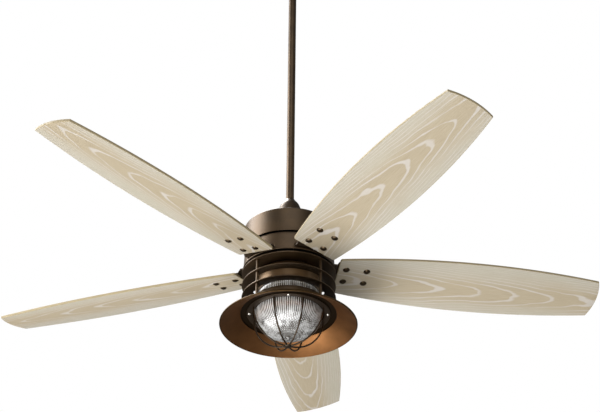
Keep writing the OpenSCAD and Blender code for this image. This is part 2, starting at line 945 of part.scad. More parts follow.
// Straight run, then a quarter turn whose centre lies just off the axis
module guard_wire() {
  if (wire_run > 0)
    translate([wire_start_r, 0, wire_mid_z - wire_run]) cylinder(r = wire_r, h = wire_run);
  translate([wire_centre_r, 0, wire_mid_z - wire_run])
    rotate([-90, 0, 0])
      rotate_extrude(angle = 88)
        translate([wire_bend_r, 0]) circle(r = wire_r);
}

module guard() {
  color(dark_bronze)
    at_head()
      difference() {
        union() {
          ring(guard_ring_out_r, guard_ring_in_r, guard_z - guard_ring_t, guard_ring_t);
          for (i = [0 : 7]) rotate([0, 0, 22.5 + 45 * i]) guard_wire();
          translate([0, 0, wire_mid_z - guard_depth - knot_h / 2]) cylinder(r = knot_r, h = knot_h);
        }
        guard_screw_holes(guard_z - guard_ring_t, guard_ring_t);
      }
}

module guard_screws() {
  color("gainsboro")
    at_head()
      spaced(4, guard_screw_r)
        translate([0, 0, guard_z - guard_ring_t])
          dome_screw(8, 2.4, 4, guard_ring_t + 2 * kit_wall + 5);
}

module guard_nuts() {
  color(steel)
    at_head()
      spaced(4, guard_screw_r)
        translate([0, 0, shade_top_z + kit_wall]) hex_nut(5.5, 3, 4);
}

hanger_bracket();
canopy();
canopy_screws();
hanger_ball();
ball_pin();
downrod();
supply_leads();
coupling();
rod_pin();
coupling_set_screws();
coupling_cover();
motor_shaft();
upper_housing();
housing_screws();
stator_core();
stator_windings();
bearing_inner_races();
bearing_balls();
bearing_outer_races();
rotor_ring();
rotor_case_top();
rotor_case_bottom();
case_screws();
rotor_band();
blade_arm_1();
blade_arm_2();
blade_arm_3();
blade_arm_4();
blade_arm_5();
arm_screws();
blade_1();
blade_2();
blade_3();
blade_4();
blade_5();
blade_screws();
kit_spacer();
kit_top_plate();
kit_nut();
fitter_cup();
fitter_screws();
louvre_upper();
louvre_lower();
kit_posts();
post_screws();
socket_plate();
lamp_socket();
lamp_base();
lamp_bulb();
glass_gasket();
glass_jar();
glass_collar();
shade();
guard();
guard_screws();
guard_nuts();
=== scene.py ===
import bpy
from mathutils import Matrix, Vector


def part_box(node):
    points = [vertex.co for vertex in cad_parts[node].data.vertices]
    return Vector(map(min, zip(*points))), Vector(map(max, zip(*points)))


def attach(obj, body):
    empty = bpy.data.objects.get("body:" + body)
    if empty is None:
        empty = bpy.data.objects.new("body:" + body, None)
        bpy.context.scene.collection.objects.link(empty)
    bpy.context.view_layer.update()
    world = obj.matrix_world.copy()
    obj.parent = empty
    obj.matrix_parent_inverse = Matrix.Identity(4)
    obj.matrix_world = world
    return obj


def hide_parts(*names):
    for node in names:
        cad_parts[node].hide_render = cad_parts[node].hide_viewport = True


bl_info = {
    "name": "Lantern Ceiling Fan",
    "version": (1, 0, 0),
    "blender": (4, 5, 0),
    "location": "View3D > Sidebar > Fan",
    "description": "Downrod ceiling fan with washed oak blades and a guarded glass lantern",
    "category": "Object",
}

import math

import bpy
import numpy as np
from bpy.props import FloatProperty, FloatVectorProperty, IntProperty, PointerProperty
from mathutils import Matrix, Vector

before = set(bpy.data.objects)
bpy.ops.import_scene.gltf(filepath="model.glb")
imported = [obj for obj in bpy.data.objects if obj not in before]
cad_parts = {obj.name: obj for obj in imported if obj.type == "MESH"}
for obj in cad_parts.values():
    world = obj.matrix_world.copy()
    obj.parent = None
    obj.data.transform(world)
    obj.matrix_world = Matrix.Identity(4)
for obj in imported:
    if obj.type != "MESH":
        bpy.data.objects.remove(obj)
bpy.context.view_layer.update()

MM = 0.001
TURN = 2 * math.pi
BLADES = 5
SMALL_STEPS = 96


def node_box(node):
    """Lowest and highest corner of a CAD node as two numpy arrays."""
    low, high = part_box(node)
    return np.array(low), np.array(high)


def node_span(node):
    """Lowest z, highest z and largest radius about the fan's axis of a round CAD node."""
    low, high = node_box(node)
    return low[2], high[2], (high[0] - low[0]) / 2


BLADE_PLANE = node_box("rotor_band")[0][2] + 2 * MM


# ---------------------------------------------------------------- sizes and colours

def plain(name, about, default, **kind):
    """A setting that is a plain number."""
    return FloatProperty(name=name, description=about, default=default, **kind)


def metres(name, about, default):
    """A setting that is a length."""
    return plain(name, about, default, unit="LENGTH")


def degrees(name, about, default):
    """A setting that is an angle, given here in degrees."""
    return plain(name, about, math.radians(default), subtype="ANGLE")


def tint(name, about, *rgb):
    """A setting that is an opaque colour."""
    return FloatVectorProperty(name=name, description=about, subtype="COLOR", size=4,
                               default=(*rgb, 1))


class FanStageSettings(bpy.types.PropertyGroup):
    """Camera, lights and floor"""
    distance: metres("Distance", "Camera to its aim point", 4.6897)
    elevation: degrees("Look-up angle", "How far the camera looks up", 32.54)
    roll: degrees("Roll", "Turn of the camera about its own line of sight", 0.55)
    aim_x: metres("Aim X", "Aim point's X", 0.02418)
    aim_rise: metres("Aim rise", "Aim point's height over the blades", 0.18273)
    lens: plain("Lens", "Focal length in mm", 117.03)
    floor_z: metres("Floor", "Height of the floor", -20.0)
    ambient: plain("Ambient", "Light from all round", 0.12)
    key: plain("Key", "Power of the left softbox in watts", 150.0)
    under: plain("Under", "Power of the low softbox in watts", 110.0)
    fill: plain("Fill", "Power of the low front softbox in watts", 140.0)
    front: plain("Front", "Power of the high front softbox in watts", 30.0)
    accent: plain("Accent", "Power of the right strip in watts", 10.0)
    back: plain("Back", "Power of the low softbox behind in watts", 50.0)
    sun: plain("Sun", "Strength of the light from above", 2.4)


class FanBodySettings(bpy.types.PropertyGroup):
    """Metal shells"""
    segments: IntProperty(name="Segments", description="Steps round a shell", default=180, min=24)
    wall: metres("Wall", "Sheet thickness", 2 * MM)
    edge: metres("Edge", "Rounding of sheet edges", 0.7 * MM)
    housing_edge: metres("Housing edge", "Rounding of the housing's top", 3.5 * MM)
    rod_radius: metres("Rod radius", "Radius of the downrod", node_span("downrod")[2])


class FanBladeSettings(bpy.types.PropertyGroup):
    """Blades and their arms"""
    pitch: degrees("Pitch", "Pitch of the blades", 14)
    cone: degrees("Cone", "Upward slope of the blades", 1.9)
    azimuth: degrees("First azimuth", "Direction of the first blade", -60)
    pitch_axis: metres("Pitch axis", "Radius at which the blades pivot", 100 * MM)
    root: metres("Root", "Radius of the root edge", 114 * MM)
    tip: metres("Tip", "Radius of the tip", 762 * MM)
    tip_sagitta: metres("Tip curve", "Height of the tip's arc", 10 * MM)
    root_width: metres("Root width", "Width at the root", 112 * MM)
    tip_width: metres("Tip width", "Width at the tip", 116 * MM)
    bulge: metres("Bulge", "Extra width at mid length", 48.6 * MM)
    thickness: metres("Thickness", "Blade thickness", 6 * MM)
    arm_thickness: metres("Arm thickness", "Arm plate thickness", 4 * MM)
    arm_width: metres("Arm width", "Arm width at the band", 82 * MM)
    screw_head: metres("Screw head", "Diameter of the blade screws", 16.4 * MM)


class FanGlassSettings(bpy.types.PropertyGroup):
    """Glass jar and guard"""
    ribs: IntProperty(name="Ribs", description="Upright ribs round the glass", default=96)
    rib_depth: metres("Rib depth", "Depth of a rib", 0.9 * MM)
    ring_depth: metres("Ring depth", "Depth of the inner rings", 0.35 * MM)
    wire: metres("Wire", "Diameter of the guard wires", 4 * MM)


class FanFinishSettings(bpy.types.PropertyGroup):
    """Colours"""
    bronze: tint("Bronze", "Powder coat", 0.092, 0.054, 0.022)
    copper: tint("Copper", "Inside of the shade", 0.245, 0.110, 0.040)
    guard: tint("Guard", "Guard wires", 0.055, 0.036, 0.020)
    screw: tint("Screw", "Aged bronze screws", 0.085, 0.058, 0.032)
    oak: tint("Oak", "Heart of the grain", 0.455, 0.375, 0.255)
    oak_pale: tint("Pale oak", "Towards the blade's sides", 0.475, 0.447, 0.348)
    wash: tint("Wash", "White wash in the grain", 0.585, 0.545, 0.495)
    oak_edge: tint("Edge", "Sawn edge of the blade", 0.42, 0.34, 0.20)
    glass: tint("Glass", "Glass tint", 0.97, 0.98, 0.97)


# ---------------------------------------------------------------- meshes

def quads(rows, cols, closed=False):
    """Corner numbers of the cells between rings of points, each row of the grid a ring.

    The last ring joins the first one if closed."""
    r = np.arange(rows if closed else rows - 1)[:, None]
    c = np.arange(cols)[None, :]
    r2, c2 = (r + 1) % rows, (c + 1) % cols
    cells = np.stack([r * cols + c, r * cols + c2, r2 * cols + c2, r2 * cols + c], axis=-1)
    return cells.reshape(-1, 4)


def volume(points, faces):
    """Signed volume under fans of triangles from each face's first corner."""
    total = 0.0
    for size in {len(f) for f in faces}:
        group = np.array([f for f in faces if len(f) == size])
        first = points[group[:, 0]]
        for k in range(1, size - 1):
            total += np.einsum("ij,ij->i", first, np.cross(points[group[:, k]],
                                                           points[group[:, k + 1]])).sum()
    return total / 6


def add_object(name, data):
    """Links a new object with this data to the scene."""
    made = bpy.data.objects.new(name, data)
    bpy.context.scene.collection.objects.link(made)
    return made


def new_piece(name, points, faces, material, body, slot, replaces=(), sharp=32.0, uv=None,
              marks=None, closed=True, smooth=None):
    """Makes a mesh piece that rides on a body; a closed one has its faces turned outwards.

    marks are numbers stored on the faces; smooth says which faces are shaded smooth."""
    points = np.asarray(points, float).reshape(-1, 3)
    faces = [list(map(int, f)) for f in faces]
    if closed and volume(points, faces) < 0:
        faces = [f[::-1] for f in faces]
    mesh = bpy.data.meshes.new(name)
    mesh.from_pydata(points.tolist(), [], faces)
    if uv is not None:
        layer = mesh.uv_layers.new(name="UVMap")
        corner = np.zeros(len(mesh.loops), np.int32)
        mesh.loops.foreach_get("vertex_index", corner)
        layer.data.foreach_set("uv", np.asarray(uv, np.float32)[corner].ravel())
    for label, values in (marks or {}).items():
        layer = mesh.attributes.new(name=label, type="FLOAT", domain="FACE")
        layer.data.foreach_set("value", np.asarray(values, np.float32))
    mesh.materials.append(material)
    smooth = np.ones(len(faces), bool) if smooth is None else smooth
    mesh.polygons.foreach_set("use_smooth", smooth)
    mesh.set_sharp_from_angle(angle=math.radians(sharp))
    mesh.update()
    piece = add_object(name, mesh)
    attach(piece, body)
    if replaces:
        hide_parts(*replaces)
    return piece


def rounded(points, radii, steps=5):
    """Rounds the corners of an open or closed outline: each corner gets an arc of its radius."""
    points = np.asarray(points, float)
    out = []
    for k, (p, r) in enumerate(zip(points, radii)):
        if r <= 0:
            out.append(p[None])
            continue
        a, b = points[k - 1] - p, points[(k + 1) % len(points)] - p
        la, lb = np.linalg.norm(a), np.linalg.norm(b)
        a, b = a / la, b / lb
        half = math.acos(float(np.clip(a @ b, -1, 1))) / 2
        back = min(r / math.tan(half), 0.49 * la, 0.49 * lb)
        r = back * math.tan(half)
        middle = p + (a + b) / np.linalg.norm(a + b) * (r / math.sin(half))
        start, end = p + a * back - middle, p + b * back - middle
        swing = math.acos(float(np.clip(start @ end / (r * r), -1, 1)))
        t = np.linspace(0, 1, steps + 1)[:, None]
        out.append(middle + (np.sin((1 - t) * swing) * start + np.sin(t * swing) * end)
                   / math.sin(swing))
    return np.concatenate(out)


def swept(profile, segments, ripple=None):
    """Points of a (radius, height) outline turned about the fan's axis, row by row.

    ripple(radius, height, angle) may return a changed radius for every point of the grid."""
    profile = np.asarray(profile, float)
    angle = np.linspace(0, TURN, segments, endpoint=False)[None, :]
    radius = np.repeat(profile[:, :1], segments, axis=1)
    height = np.repeat(profile[:, 1:], segments, axis=1)
    if ripple is not None:
        radius = ripple(radius, height, angle)
    points = np.stack([radius * np.cos(angle), radius * np.sin(angle), height], axis=-1)
    return points.reshape(-1, 3)


def turned(profile, segments):
    """Points and faces of a closed (radius, height) outline turned about the fan's axis."""
    return swept(profile, segments), quads(len(profile), segments, closed=True)


def capped(rows, segments):
    """Faces of rings of points; the two poles that close them are numbered after the rings."""
    ring = np.arange(segments)
    following = (ring + 1) % segments
    far = (rows - 1) * segments
    pole = np.full(segments, rows * segments)
    near_fan = np.stack([pole, following, ring], axis=-1)
    far_fan = np.stack([pole + 1, far + ring, far + following], axis=-1)
    return list(quads(rows, segments)) + list(near_fan) + list(far_fan)


def bar_faces(rings, m):
    """Faces of rings of m points each, with one face across each end."""
    return list(quads(rings, m)) + [np.arange(m)[::-1], (rings - 1) * m + np.arange(m)]


def turned_solid(profile, segments, ripple=None):
    """As turned, for an open outline whose two ends lie on the axis and become single poles."""
    profile = np.asarray(profile, float)
    ends = [[0, 0, profile[0, 1]], [0, 0, profile[-1, 1]]]
    points = np.concatenate([swept(profile[1:-1], segments, ripple), ends])
    return points, capped(len(profile) - 2, segments)


def carried(section, path, side):
    """Points and faces of a closed 2D section carried along a path, with flat ends.

    The section's first axis lies along side, a fixed direction, and its second along the
    cross product of the path's tangent and side."""
    ahead = np.roll(path, -1, axis=0) - np.roll(path, 1, axis=0)
    ahead[0], ahead[-1] = path[1] - path[0], path[-1] - path[-2]
    ahead /= np.linalg.norm(ahead, axis=1)[:, None]
    side = np.broadcast_to(np.asarray(side, float), path.shape)
    up = np.cross(ahead, side)
    up /= np.linalg.norm(up, axis=1)[:, None]
    across, rise = section[None, :, :1], section[None, :, 1:]
    grid = path[:, None] + across * side[:, None] + rise * up[:, None]
    return grid.reshape(-1, 3), bar_faces(len(path), len(section))


def arc(x, y, across, up, angles):
    """Points (x + across cos a, y + up sin a) of an ellipse."""
    return np.stack([x + across * np.cos(angles), y + up * np.sin(angles)], axis=-1)


def plate(outline, thickness, edge):
    """Points, faces and an edge mark of a flat plate on z = 0 with rounded rims.

    The outline is drawn in towards its own normals by quarter circles at both faces. It runs
    from the root along one side and back along the other, so each strip of the flat faces joins
    a point to its opposite."""
    ahead = np.roll(outline, -1, axis=0) - outline
    ahead /= np.linalg.norm(ahead, axis=1)[:, None]
    inward = np.stack([-ahead[:, 1], ahead[:, 0]], axis=-1)
    inward = inward + np.roll(inward, 1, axis=0)
    inward /= np.linalg.norm(inward, axis=1)[:, None]
    x, y = outline.T
    if (x * np.roll(y, -1) - y * np.roll(x, -1)).sum() < 0:
        inward = -inward
    a = np.linspace(0, math.pi / 2, 5)
    draw = edge * (1 - np.sin(a))
    rise = edge * (1 - np.cos(a))
    draw = np.concatenate([draw, draw[::-1]])
    height = np.concatenate([rise, thickness - rise[::-1]])
    rim = outline[None] + draw[:, None, None] * inward[None]
    points = np.concatenate([rim, np.broadcast_to(height[:, None, None], rim.shape[:2] + (1,))],
                            axis=-1)
    n, m = len(height), len(outline)
    i = np.arange(m // 2 - 1)
    strips = np.stack([i, i + 1, m - 2 - i, m - 1 - i], axis=-1)
    faces = list(quads(n, m)) + list(strips[:, ::-1]) + list(strips + (n - 1) * m)
    marks = np.concatenate([np.ones((n - 1) * m), np.zeros(2 * len(strips))])
    return points.reshape(-1, 3), faces, marks


def joined(parts):
    """One list of points and one of faces from several (points, faces) pairs."""
    points, faces, start = [], [], 0
    for p, f in parts:
        points.append(p)
        faces += [[int(i) + start for i in face] for face in f]
        start += len(p)
    return np.concatenate(points), faces


def spun(points, angle):
    """Points turned about the fan's axis."""
    c, s = math.cos(angle), math.sin(angle)
    return points @ np.array([[c, s, 0], [-s, c, 0], [0, 0, 1]])


def ring_of(part, count, radius, start=0.0, height=0.0):
    """Copies of a part at equal angles round the axis, each moved out to a radius."""
    points, faces = part
    moved = points + np.array([radius, 0, height])
    return joined([(spun(moved, start + k * TURN / count), faces) for k in range(count)])


def domed_head(diameter, rise, recess=0.0, rings=9, segments=28):
    """A screw head under z = 0: a dome whose middle is sunk along two crossed bars.

    The dome drops by rise (1 - share of the radius to the power 2.4)."""
    r = np.linspace(0, 1, rings + 1)[1:, None] * diameter / 2
    a = np.linspace(0, TURN, segments, endpoint=False)[None, :]
    x, y = r * np.cos(a), r * np.sin(a)
    drop = rise * (1 - (2 * r / diameter) ** 2.4) * np.ones_like(a)
    bar = diameter * 0.075
    reach = np.clip(1.6 - r / (diameter * 0.17), 0, 1)
    cross = np.exp(-(np.minimum(abs(x), abs(y)) / bar) ** 4)
    wall = np.stack([x, y, recess * cross * reach - drop], axis=-1).reshape(-1, 3)
    points = np.concatenate([wall, [[0, 0, -(rise - recess)], [0, 0, 0]]])
    return points, capped(rings, segments)


def screw_of(diameter, rise, recess, shank, length):
    """A domed head under z = 0 and a round shank above it, with a chamfered end."""
    chamfer = 0.5 * MM
    rod = turned_solid([[0, 0], [shank, 0], [shank, length - chamfer], [shank - chamfer, length],
                        [0, length]], 24)
    return joined([domed_head(diameter, rise, recess), rod])


# ---------------------------------------------------------------- shader maths

def math_method(operation, swapped=False):
    """A method of Value that adds one Math node."""
    def method(self, *others):
        values = (*others, self) if swapped else (self, *others)
        return self.paint.maths(operation, *values)
    return method


class Value:
    """A number that varies over the surface; its operators add Math nodes.

    size() is the value without its sign and fraction() the part after the point."""

    def __init__(self, paint, socket):
        self.paint, self.socket = paint, socket

    __add__ = __radd__ = math_method("ADD")
    __mul__ = __rmul__ = math_method("MULTIPLY")
    __sub__ = math_method("SUBTRACT")
    __rsub__ = math_method("SUBTRACT", swapped=True)
    __truediv__ = math_method("DIVIDE")
    __pow__ = math_method("POWER")
    size = math_method("ABSOLUTE")
    fraction = math_method("FRACT")

    def step(self, low, high):
        """A smooth rise from 0 at low to 1 at high."""
        ramp = self.paint.node("ShaderNodeMapRange", {"interpolation_type": "SMOOTHSTEP"},
                               {"Value": self, "From Min": low, "From Max": high})
        return Value(self.paint, ramp.outputs["Result"])


class Paint:
    """A material being made: one method makes every node."""

    def __init__(self, name, roughness=0.5, metallic=0.0, **fixed):
        self.material = bpy.data.materials.new(name)
        self.material.use_nodes = True
        self.tree = self.material.node_tree
        self.shader = self.tree.nodes["Principled BSDF"]
        self.set("Roughness", roughness)
        self.set("Metallic", metallic)
        for label, value in fixed.items():
            self.set(label.replace("_", " "), value)

    def set(self, label, value):
        """Puts a fixed value on a socket of the surface shader, or links a varying one to it."""
        self.feed(self.shader.inputs[label], value)

    def feed(self, socket, value):
        """A link from a Value or socket, or a plain number or colour."""
        if isinstance(value, Value):
            value = value.socket
        if isinstance(value, bpy.types.NodeSocket):
            self.tree.links.new(value, socket)
        else:
            socket.default_value = value

    def node(self, kind, settings=None, inputs=None):
        """Adds a node, sets its options first and then its input sockets."""
        made = self.tree.nodes.new(kind)
        for label, value in (settings or {}).items():
            setattr(made, label, value)
        for label, value in (inputs or {}).items():
            self.feed(made.inputs[label], value)
        return made

    def maths(self, operation, *values):
        """One Math node."""
        made = self.node("ShaderNodeMath", {"operation": operation}, dict(enumerate(values)))
        return Value(self, made.outputs[0])

    def place(self, axis_map="Object"):
        """Object coordinates, or the piece's own UV map."""
        if axis_map == "UV":
            return self.node("ShaderNodeUVMap", {"uv_map": "UVMap"}).outputs["UV"]
        return self.node("ShaderNodeTexCoord").outputs["Object"]

    def axes(self, vector):
        """The three parts of a vector as Values."""
        apart = self.node("ShaderNodeSeparateXYZ", {}, {"Vector": vector})
        return [Value(self, part) for part in apart.outputs]

    def vector(self, x, y):
        """A vector from two parts."""
        return self.node("ShaderNodeCombineXYZ", {}, {"X": x, "Y": y}).outputs[0]

    def scaled(self, vector, x, y, z):
        """A vector stretched along its axes."""
        made = self.node("ShaderNodeMapping", {}, {"Vector": vector, "Scale": (x, y, z)})
        return made.outputs[0]

    def noise(self, vector, scale, detail):
        """Noise from 0 to 1."""
        made = self.node("ShaderNodeTexNoise", {}, {"Vector": vector, "Scale": scale,
                                                    "Detail": detail})
        return Value(self, made.outputs["Fac"])

    def attribute(self, label):
        """A number stored on the piece's faces."""
        return Value(self, self.node("ShaderNodeAttribute",
                                     {"attribute_name": label}).outputs["Fac"])

    def mix(self, factor, first, second):
        """A colour between two colours."""
        made = self.node("ShaderNodeMix", {"data_type": "RGBA"}, {0: factor, 6: first, 7: second})
        return made.outputs[2]

    def varied(self, factor, colour, low, high):
        """A colour that runs between two shades of itself."""
        return self.mix(factor, shade_of(colour, low), shade_of(colour, high))

    def bump(self, height, strength, distance):
        """Relief from a height."""
        made = self.node("ShaderNodeBump", {}, {"Height": height, "Strength": strength,
                                                "Distance": distance})
        self.set("Normal", made.outputs["Normal"])


def shade_of(colour, factor):
    """A colour made lighter or darker."""
    return tuple(min(1.0, c * factor) for c in colour[:3]) + (1.0,)


def powder_coat(name, colour, roughness=0.45, metallic=0.85, coat=0.55):
    """Rubbed bronze powder coat: cloudy tone, fine orange peel and a lighter rubbed fleck."""
    paint = Paint(name, metallic=metallic, Coat_Weight=coat, Coat_Roughness=0.4)
    at = paint.place()
    cloud = paint.noise(at, 26, 3)
    grain = paint.noise(at, 900, 1)
    tone = paint.varied(cloud.step(0.35, 0.7), colour, 0.86, 1.14)
    fleck = grain.step(0.58, 0.76) * 0.35
    paint.set("Base Color", paint.mix(fleck, tone, shade_of(colour, 1.6)))
    paint.set("Roughness", (grain - 0.5) * 0.16 + (cloud - 0.5) * 0.12 + roughness)
    paint.bump(grain, 0.08, 0.0003)
    return paint.material


def plated(name, colour, roughness=0.3, metallic=1.0, brush=(1, 1, 1)):
    """Bare or plated metal with fine scratches along one direction and a slight tarnish."""
    paint = Paint(name, metallic=metallic)
    at = paint.place()
    scratch = paint.noise(paint.scaled(at, *brush), 700, 2)
    tarnish = paint.noise(at, 60, 3)
    paint.set("Base Color", paint.mix(tarnish.step(0.35, 0.75), colour, shade_of(colour, 0.72)))
    paint.set("Roughness", (scratch - 0.5) * 0.25 + (tarnish - 0.5) * 0.15 + roughness)
    paint.bump(scratch, 0.06, 0.0002)
    return paint.material


def moulded(name, colour, roughness=0.5, speckle=0.06):
    """Plastic, rubber, porcelain or enamel with a fine surface texture."""
    paint = Paint(name)
    grain = paint.noise(paint.place(), 500, 2)
    paint.set("Base Color", paint.varied(grain.step(0.3, 0.7), colour, 1 - speckle, 1 + speckle))
    paint.set("Roughness", (grain - 0.5) * 0.2 + roughness)
    paint.bump(grain, 0.05, 0.0002)
    return paint.material


def shade_coat(colours):
    """Bronze outside, with painted shade that darkens the bronze of the flat under the collar; soft
    copper with brushed rings where inside is 1.
    """
    paint = Paint("shade_bronze_and_copper", metallic=1.0, Coat_Weight=0.03, Coat_Roughness=0.3)
    at = paint.place()
    x, y, z = paint.axes(at)
    radius = (x * x + y * y) ** 0.5
    cloud = paint.noise(at, 22, 3)
    grain = paint.noise(at, 900, 1)
    rings = paint.noise(paint.vector(radius * 900, z * 900), 1, 2)
    outside = paint.varied(cloud.step(0.35, 0.7), colours.bronze, 0.86, 1.14)
    # Painted shade: the flat inside the collar's radius is painted darker bronze to stand in for
    # the shade it lies in.
    painted_collar_shade = radius.step(114.5 * MM, 112.5 * MM)
    outside = paint.mix(painted_collar_shade, outside, shade_of(colours.bronze, 0.40))
    inside = paint.varied(cloud.step(0.3, 0.75), colours.copper, 0.8, 1.12)
    inside = paint.mix((rings - 0.5) * 0.35 + 0.1, inside, shade_of(colours.copper, 1.35))
    paint.set("Base Color", paint.mix(paint.attribute("inside"), outside, inside))
    paint.set("Roughness", (grain - 0.5) * 0.16 + (rings - 0.5) * 0.12 + 0.47)
    paint.bump(grain, 0.07, 0.0003)
    return paint.material


def washed_oak(colours):
    """White washed oak: nested arches that point to the tip, long side lines and fine fibres.

    The grain's height is u + k v squared, so its level lines are arches; a narrow band of each
    turn of it carries the wash. The uv map is in metres, shifted for each blade."""
    paint = Paint("washed_oak", roughness=0.6)
    arch_pitch, arch_reach = 0.098, 118.0
    u, v, _ = paint.axes(paint.place("UV"))
    wander = paint.noise(paint.vector(u * 5, v * 16), 1, 2)
    ripple = paint.noise(paint.vector(u * 16, v * 55), 1, 2)
    fibre = paint.noise(paint.vector(u * 22, v * 1150), 1, 3)
    patch = paint.noise(paint.vector(u * 7, v * 26), 1, 3)
    height = (u + v * v * arch_reach) / arch_pitch + (wander - 0.5) * 1.5 + (ripple - 0.5) * 0.34
    turn = height.fraction()
    width = patch.step(0.3, 0.7) * 0.20 + 0.03
    arches = turn.step(0.0, 0.06) * (1 - ((turn - width) / 0.12).step(0.0, 1.0))
    side = v.size().step(0.018, 0.05)
    threads = (height * 4.0 + (wander - 0.5) * 2).fraction()
    threads = threads.step(0.0, 0.12) * (1 - threads.step(0.22, 0.42)) * side * 0.9
    lines = paint.maths("MAXIMUM", arches, threads)
    pale = (v + (patch - 0.5) * 0.05).size().step(0.02, 0.075)
    body = paint.mix(pale * 0.85, colours.oak, colours.oak_pale)
    body = paint.mix(fibre.step(0.35, 0.8) * 0.30, body, shade_of(colours.oak_pale, 1.12))
    body = paint.mix(fibre.step(0.62, 0.30) * 0.40, body, shade_of(colours.oak, 0.76))
    body = paint.mix(patch.step(0.45, 0.75) * 0.4, body, shade_of(colours.oak, 0.86))
    tone = paint.mix(lines * (patch * 0.6 + 0.42), body, colours.wash)
    sawn = paint.varied(fibre, colours.oak_edge, 0.85, 1.15)
    paint.set("Base Color", paint.mix(paint.attribute("rim"), tone, sawn))
    paint.set("Roughness", lines * 0.12 + (fibre - 0.5) * 0.2 + 0.55)
    paint.bump(fibre * 0.6 - lines * 0.5, 0.12, 0.0004)
    return paint.material


def pressed_glass(colours, ribs):
    """Pressed glass: bright ribs between grooves painted dark, crossed by slanting cuts painted
    dark low down; the dark is painted shade that stands in for the dark inside seen through the
    glass.

    The stripes follow the angle about the axis; share runs from 0 at the jar's foot to 1 at the
    shade. The glass is painted darkest at both ends of it, as painted shade where the dark inside
    shows through."""
    paint = Paint("ribbed_glass", Transmission_Weight=0.18, IOR=1.47, Coat_Weight=1.0,
                  Coat_IOR=2.15)
    low, high = node_span("glass_jar")[0], node_span("shade")[1]
    painted_see_through_shade = (0.105, 0.088, 0.068, 1)
    at = paint.place()
    x, y, z = paint.axes(at)
    radius = (x * x + y * y) ** 0.5
    share = (z - low) / (high - low)
    turns = paint.maths("ARCTAN2", y, x) * (ribs / TURN)
    haze = paint.noise(at, 160, 2)
    smear = paint.noise(paint.scaled(at, 1, 1, 0.4), 75, 2)
    groove = (turns.fraction() - 0.5).size().step(0.10, 0.38) * radius.step(0.030, 0.066)
    slant = (turns * 0.5 + share * 16).fraction()
    other = (turns * 0.5 - share * 16).fraction()
    cuts = paint.maths("MAXIMUM", slant.step(0.55, 0.85), other.step(0.55, 0.85))
    cuts = cuts * radius.step(0.080, 0.056)
    # Painted shade: the top and the foot of the glass, its grooves and its cuts are painted dark to
    # stand in for the dark inside seen through the clear glass.
    ends = share.step(0.65, 1.0) * 0.15 + share.step(0.34, 0.05) * 0.6
    dark = paint.maths("MAXIMUM", groove * 0.95, cuts * 0.8)
    dark = (dark + ends * 0.7 + (smear - 0.52) * 1.9).step(0.0, 1.0)
    paint.set("Base Color", paint.mix(dark, colours.glass, painted_see_through_shade))
    paint.set("Roughness", haze * 0.08 + 0.08)
    return paint.material


def frosted_lamp():
    """Frosted white lamp envelope."""
    paint = Paint("lamp_frost", Transmission_Weight=0.25, IOR=1.45)
    haze = paint.noise(paint.place(), 220, 2)
    paint.set("Base Color", paint.mix(haze, (0.93, 0.92, 0.88, 1), (0.86, 0.85, 0.81, 1)))
    paint.set("Roughness", haze * 0.2 + 0.35)
    return paint.material


FINISHES = {}


def finishes():
    """The materials, made once."""
    if FINISHES:
        return FINISHES
    colours = bpy.context.scene.fan_finish
    FINISHES.update({
        "bronze": powder_coat("bronze_powder_coat", colours.bronze),
        "guard": powder_coat("guard_enamel", colours.guard, 0.36, 0.8, 0.2),
        # Painted light: the fitter cup gets a lighter copy of the bronze, standing in for light
        # falling on it between the louvres.
        "cup": powder_coat("cup_powder_coat", shade_of(colours.bronze, 1.9)),
        "arm": powder_coat("arm_enamel", shade_of(colours.bronze, 0.6), 0.45, 0.7),
        "motor": powder_coat("motor_enamel", (0.02, 0.019, 0.018, 1), 0.6, 0.2, 0.0),
        "shade": shade_coat(colours),
        "oak": washed_oak(colours),
        "glass": pressed_glass(colours, bpy.context.scene.fan_glass.ribs),
        "lamp": frosted_lamp(),
        "screw": plated("aged_bronze", colours.screw, 0.3, 0.85),
        "bright": plated("bright_screw", (0.52, 0.50, 0.46, 1), 0.3),
        "zinc": plated("zinc_plate", (0.50, 0.51, 0.52, 1), 0.36, 1.0, (1, 1, 0.15)),
        "core": plated("core_laminations", (0.28, 0.28, 0.29, 1), 0.45, 1.0, (0.05, 0.05, 6)),
        "bearing": plated("bearing_steel", (0.66, 0.66, 0.67, 1), 0.14),
        "copper_wire": plated("copper_windings", (0.52, 0.20, 0.08, 1), 0.32, 0.9, (1, 1, 0.1)),
        "cap": plated("lamp_cap", (0.68, 0.52, 0.26, 1), 0.25),
        "black": moulded("black_oxide", (0.022, 0.022, 0.023, 1), 0.48, 0.2),
        "lead": moulded("lead_insulation", (0.72, 0.71, 0.66, 1), 0.5),
        "porcelain": moulded("socket_porcelain", (0.80, 0.78, 0.73, 1), 0.2, 0.03),
        "enamel": moulded("reflector_enamel", (0.78, 0.76, 0.71, 1), 0.35, 0.03),
        "rubber": moulded("gasket_rubber", (0.02, 0.02, 0.02, 1), 0.7, 0.2),
    })
    return FINISHES


# ---------------------------------------------------------------- operators

def sheet_ring(low, high, inner, outer, edge):
    """Outline of a ring of sheet metal with rounded edges."""
    corners = [[inner, low], [outer, low], [outer, high], [inner, high]]
    return rounded(corners, [edge] * 4, 3)


def shell(name, node, outline, coat="bronze", body="fan_body", slot="bronze_paint", steps=None,
          **more):
    """A closed outline turned about the fan's axis, as the piece that shows for a CAD node."""
    steps = steps or bpy.context.scene.fan_body.segments
    return new_piece(name, *turned(outline, steps), finishes()[coat], body, slot, [node], **more)


